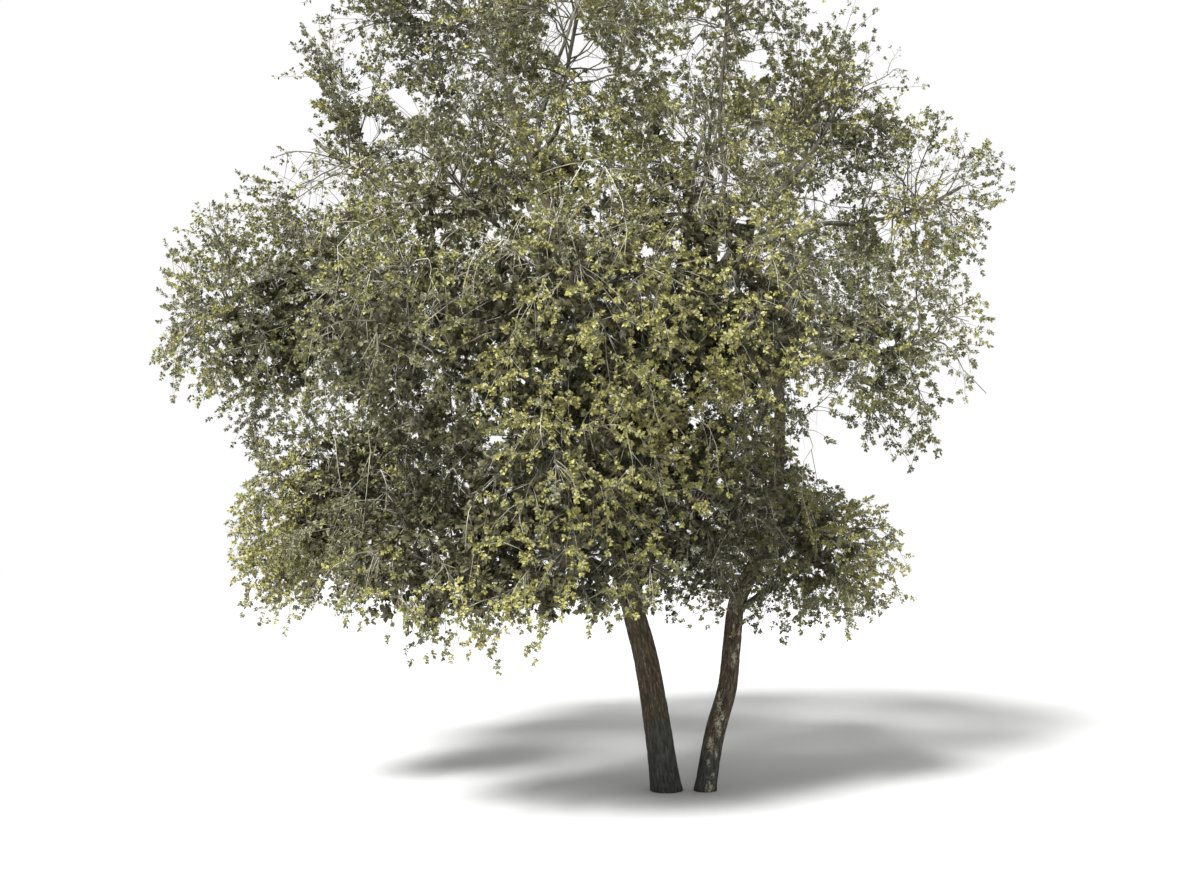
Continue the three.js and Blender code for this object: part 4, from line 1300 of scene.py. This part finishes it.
# Small mottles, darker and lighter than the leaf's tint.
MOTTLES = ((0.35, (0.4, 0.42, 0.48, 1)), (0.62, (1.2, 1.17, 1, 1)))
MOTTLE_DEPTH = 0.6
leaf_mottle, entry, leave = new_group(
    "leaf_mottle",
    [
        ("Place", "NodeSocketVector", None), ("Tint", "NodeSocketColor", None),
        ("Depth", "NodeSocketFloat", 0.3),
    ],
    [("Colour", "NodeSocketColor")],
)
blotch = clouds(leaf_mottle, entry["Place"], Scale=70, Detail=2)
lights = add_node(leaf_mottle, "ShaderNodeValToRGB", Fac=blotch)
for stop, (position, light) in zip(lights.color_ramp.elements, MOTTLES):
    stop.position = position
    stop.color = light
shade = add_node(
    leaf_mottle, "ShaderNodeMix", {"data_type": "RGBA", "blend_type": "MULTIPLY"},
    i0=entry["Depth"], i6=entry["Tint"], i7=lights.outputs[0],
)
leaf_mottle.links.new(shade.outputs[2], leave["Colour"])


def mottled(tree, place, tint):
    return place_group(tree, leaf_mottle, Place=place, Tint=(*tint, 1), Depth=MOTTLE_DEPTH)["Colour"]


LEAF_ROUGHNESS = 0.5
LEAF_GLOSS = 0.35


def leaf_material(name, upper, under):
    """Leathery and faintly glossy, and paler below."""
    material, tree, shader = new_material(name, LEAF_ROUGHNESS)
    place = add_node(tree, "ShaderNodeTexCoord").outputs["Object"]
    below = add_node(tree, "ShaderNodeNewGeometry").outputs["Backfacing"]
    colour = mix_colours(tree, below, mottled(tree, place, upper), mottled(tree, place, under))
    tree.links.new(colour, shader["Base Color"])
    shader["Specular IOR Level"].default_value = LEAF_GLOSS
    return material


def add_leaves(name, upper, under, chosen):
    """One piece with all leaves of one tint."""
    starts = np.arange(len(chosen)) * len(LEAF_CORNERS)
    faces = (LEAF_FACES[None] + starts[:, None, None]).reshape(-1, 3)
    corners = chosen.reshape(-1, 3)
    piece = joined_mesh("leaves_" + name, corners, faces, leaf_material("leaf_" + name, upper, under))
    stand_for_masses(piece)


LOW_CROWN = 1.0
HIGH_CROWN = 5.0
PATCH_SIZE = 0.8  # how large the patches of crown are that share a tint
TINT_BY = (0.45, 0.75, 0.15)  # how far a twig's tint goes by chance, by its patch and by its height
PAINTED_LIGHT_AND_SHADE = [  # painted light and painted shade on the leaves: middle, size and how much (below 0: painted light, lighter tints; above 0: painted shade, darker tints)
    ((-0.45, -2.0, 2.5), 0.8, -0.6), ((0.1, -0.8, 1.5), 0.7, 0.4), ((-0.4, 0.0, 5.0), 1.3, -0.3),
    ((-2.3, -0.4, 1.6), 0.7, -0.5), ((-1.7, -0.9, 4.0), 0.6, -0.4), ((0.9, -0.9, 3.4), 0.5, -0.4),
    ((0.0, -1.6, 2.05), 0.6, -0.6), ((0.3, -1.7, 2.55), 0.6, -0.5), ((-1.45, -1.5, 1.85), 0.6, 0.3),
]
twig_tips = twig_paths[:, -1]
patch = np.array([noise.noise(root / PATCH_SIZE) for root in twig_tips])
height = np.clip((twig_tips[:, 2] - LOW_CROWN) / (HIGH_CROWN - LOW_CROWN), 0, 1)
by_chance, by_patch, by_height = TINT_BY
mixed = by_chance * rng.random(len(twig_paths)) + by_patch * patch + by_height * height
# Painted light makes the tints lighter round some places, and painted shade makes them darker round others.
for middle, reach, shift in PAINTED_LIGHT_AND_SHADE:
    mixed += shift * np.maximum(1 - ((twig_tips - middle) ** 2).sum(axis=1) / reach**2, 0)
order = np.argsort(np.argsort(mixed)) / len(mixed)
# The lighter grey tint is dealt out a little everywhere, and more at the sides and high up as painted light.
dusty = np.interp(np.abs(twig_tips[:, 0] - CROWN_AXIS_X), *GREY_TINT_AND_PAINTED_LIGHT_ASIDE)
dusty += np.interp(twig_tips[:, 2], *PAINTED_LIGHT_HIGH)
twig_tint = np.where(rng.random(len(twig_paths)) < dusty, DUSTY, (order * DUSTY).astype(int))
# Leaves in the places of painted shade take the darkest tint.
for middle, reach in PAINTED_SHADE_PLACES:
    dark = PAINTED_SHADE_SHARE * (1 - ((twig_tips - middle) ** 2).sum(axis=1) / reach**2)
    twig_tint[rng.random(len(twig_paths)) < dark] = DUSTY + 1
tint_of = twig_tint[np.array(shoot_twig)]
leafiness = np.interp(shoot_roots[:, 2], *LEAF_SHARE) + clumps(shoot_roots)
kept = rng.random((total, LEAVES)) < leafiness[:, None]
for index, (name, upper, under) in enumerate(TINTS):
    add_leaves(name, upper, under, leaf[kept & (outer & (tint_of == index))[:, None]])
add_leaves(*SHADE_TINT, leaf[~outer][:, :INNER_LEAVES].reshape(-1, len(LEAF_CORNERS), 3))

# Floor and light
# A plain pale floor, a large soft light from above, in front and to the left, and a white room. The floor
# lies a millimetre under the stems' cuts.
FLOOR = (0.62, 0.62, 0.615, 1)
FLOOR_SIZE = 400
FLOOR_LEVEL = -0.001
FLOOR_ROUGHNESS = 0.9
bpy.ops.mesh.primitive_plane_add(size=FLOOR_SIZE, location=(0, 0, FLOOR_LEVEL))
floor = bpy.context.object
floor.name = "floor"
floor_paint, _, shader = new_material("floor_paint", FLOOR_ROUGHNESS)
shader["Base Color"].default_value = FLOOR
floor.data.materials.append(floor_paint)

SUN_FROM = (48, 0, -30)  # degrees down from straight overhead, and round to the viewer's left
SUN_STRENGTH = 7.0
SUN_SOFTNESS = 14
bpy.ops.object.light_add(type="SUN", rotation=[math.radians(turn) for turn in SUN_FROM])
sun = bpy.context.object
sun.data.energy = SUN_STRENGTH
sun.data.angle = math.radians(SUN_SOFTNESS)

ROOM_LIGHT = 0.62  # what the white room gives the tree, while it shows white itself
room = bpy.data.worlds.new("room")
room.use_nodes = True
tree = room.node_tree
tree.nodes["Background"].inputs["Color"].default_value = (1, 1, 1, 1)
seen = add_node(tree, "ShaderNodeLightPath").outputs["Is Camera Ray"]
brightness = add_node(tree, "ShaderNodeMix", i0=seen, i2=ROOM_LIGHT, i3=1.0)
tree.links.new(brightness.outputs[0], tree.nodes["Background"].inputs["Strength"])
bpy.context.scene.world = room
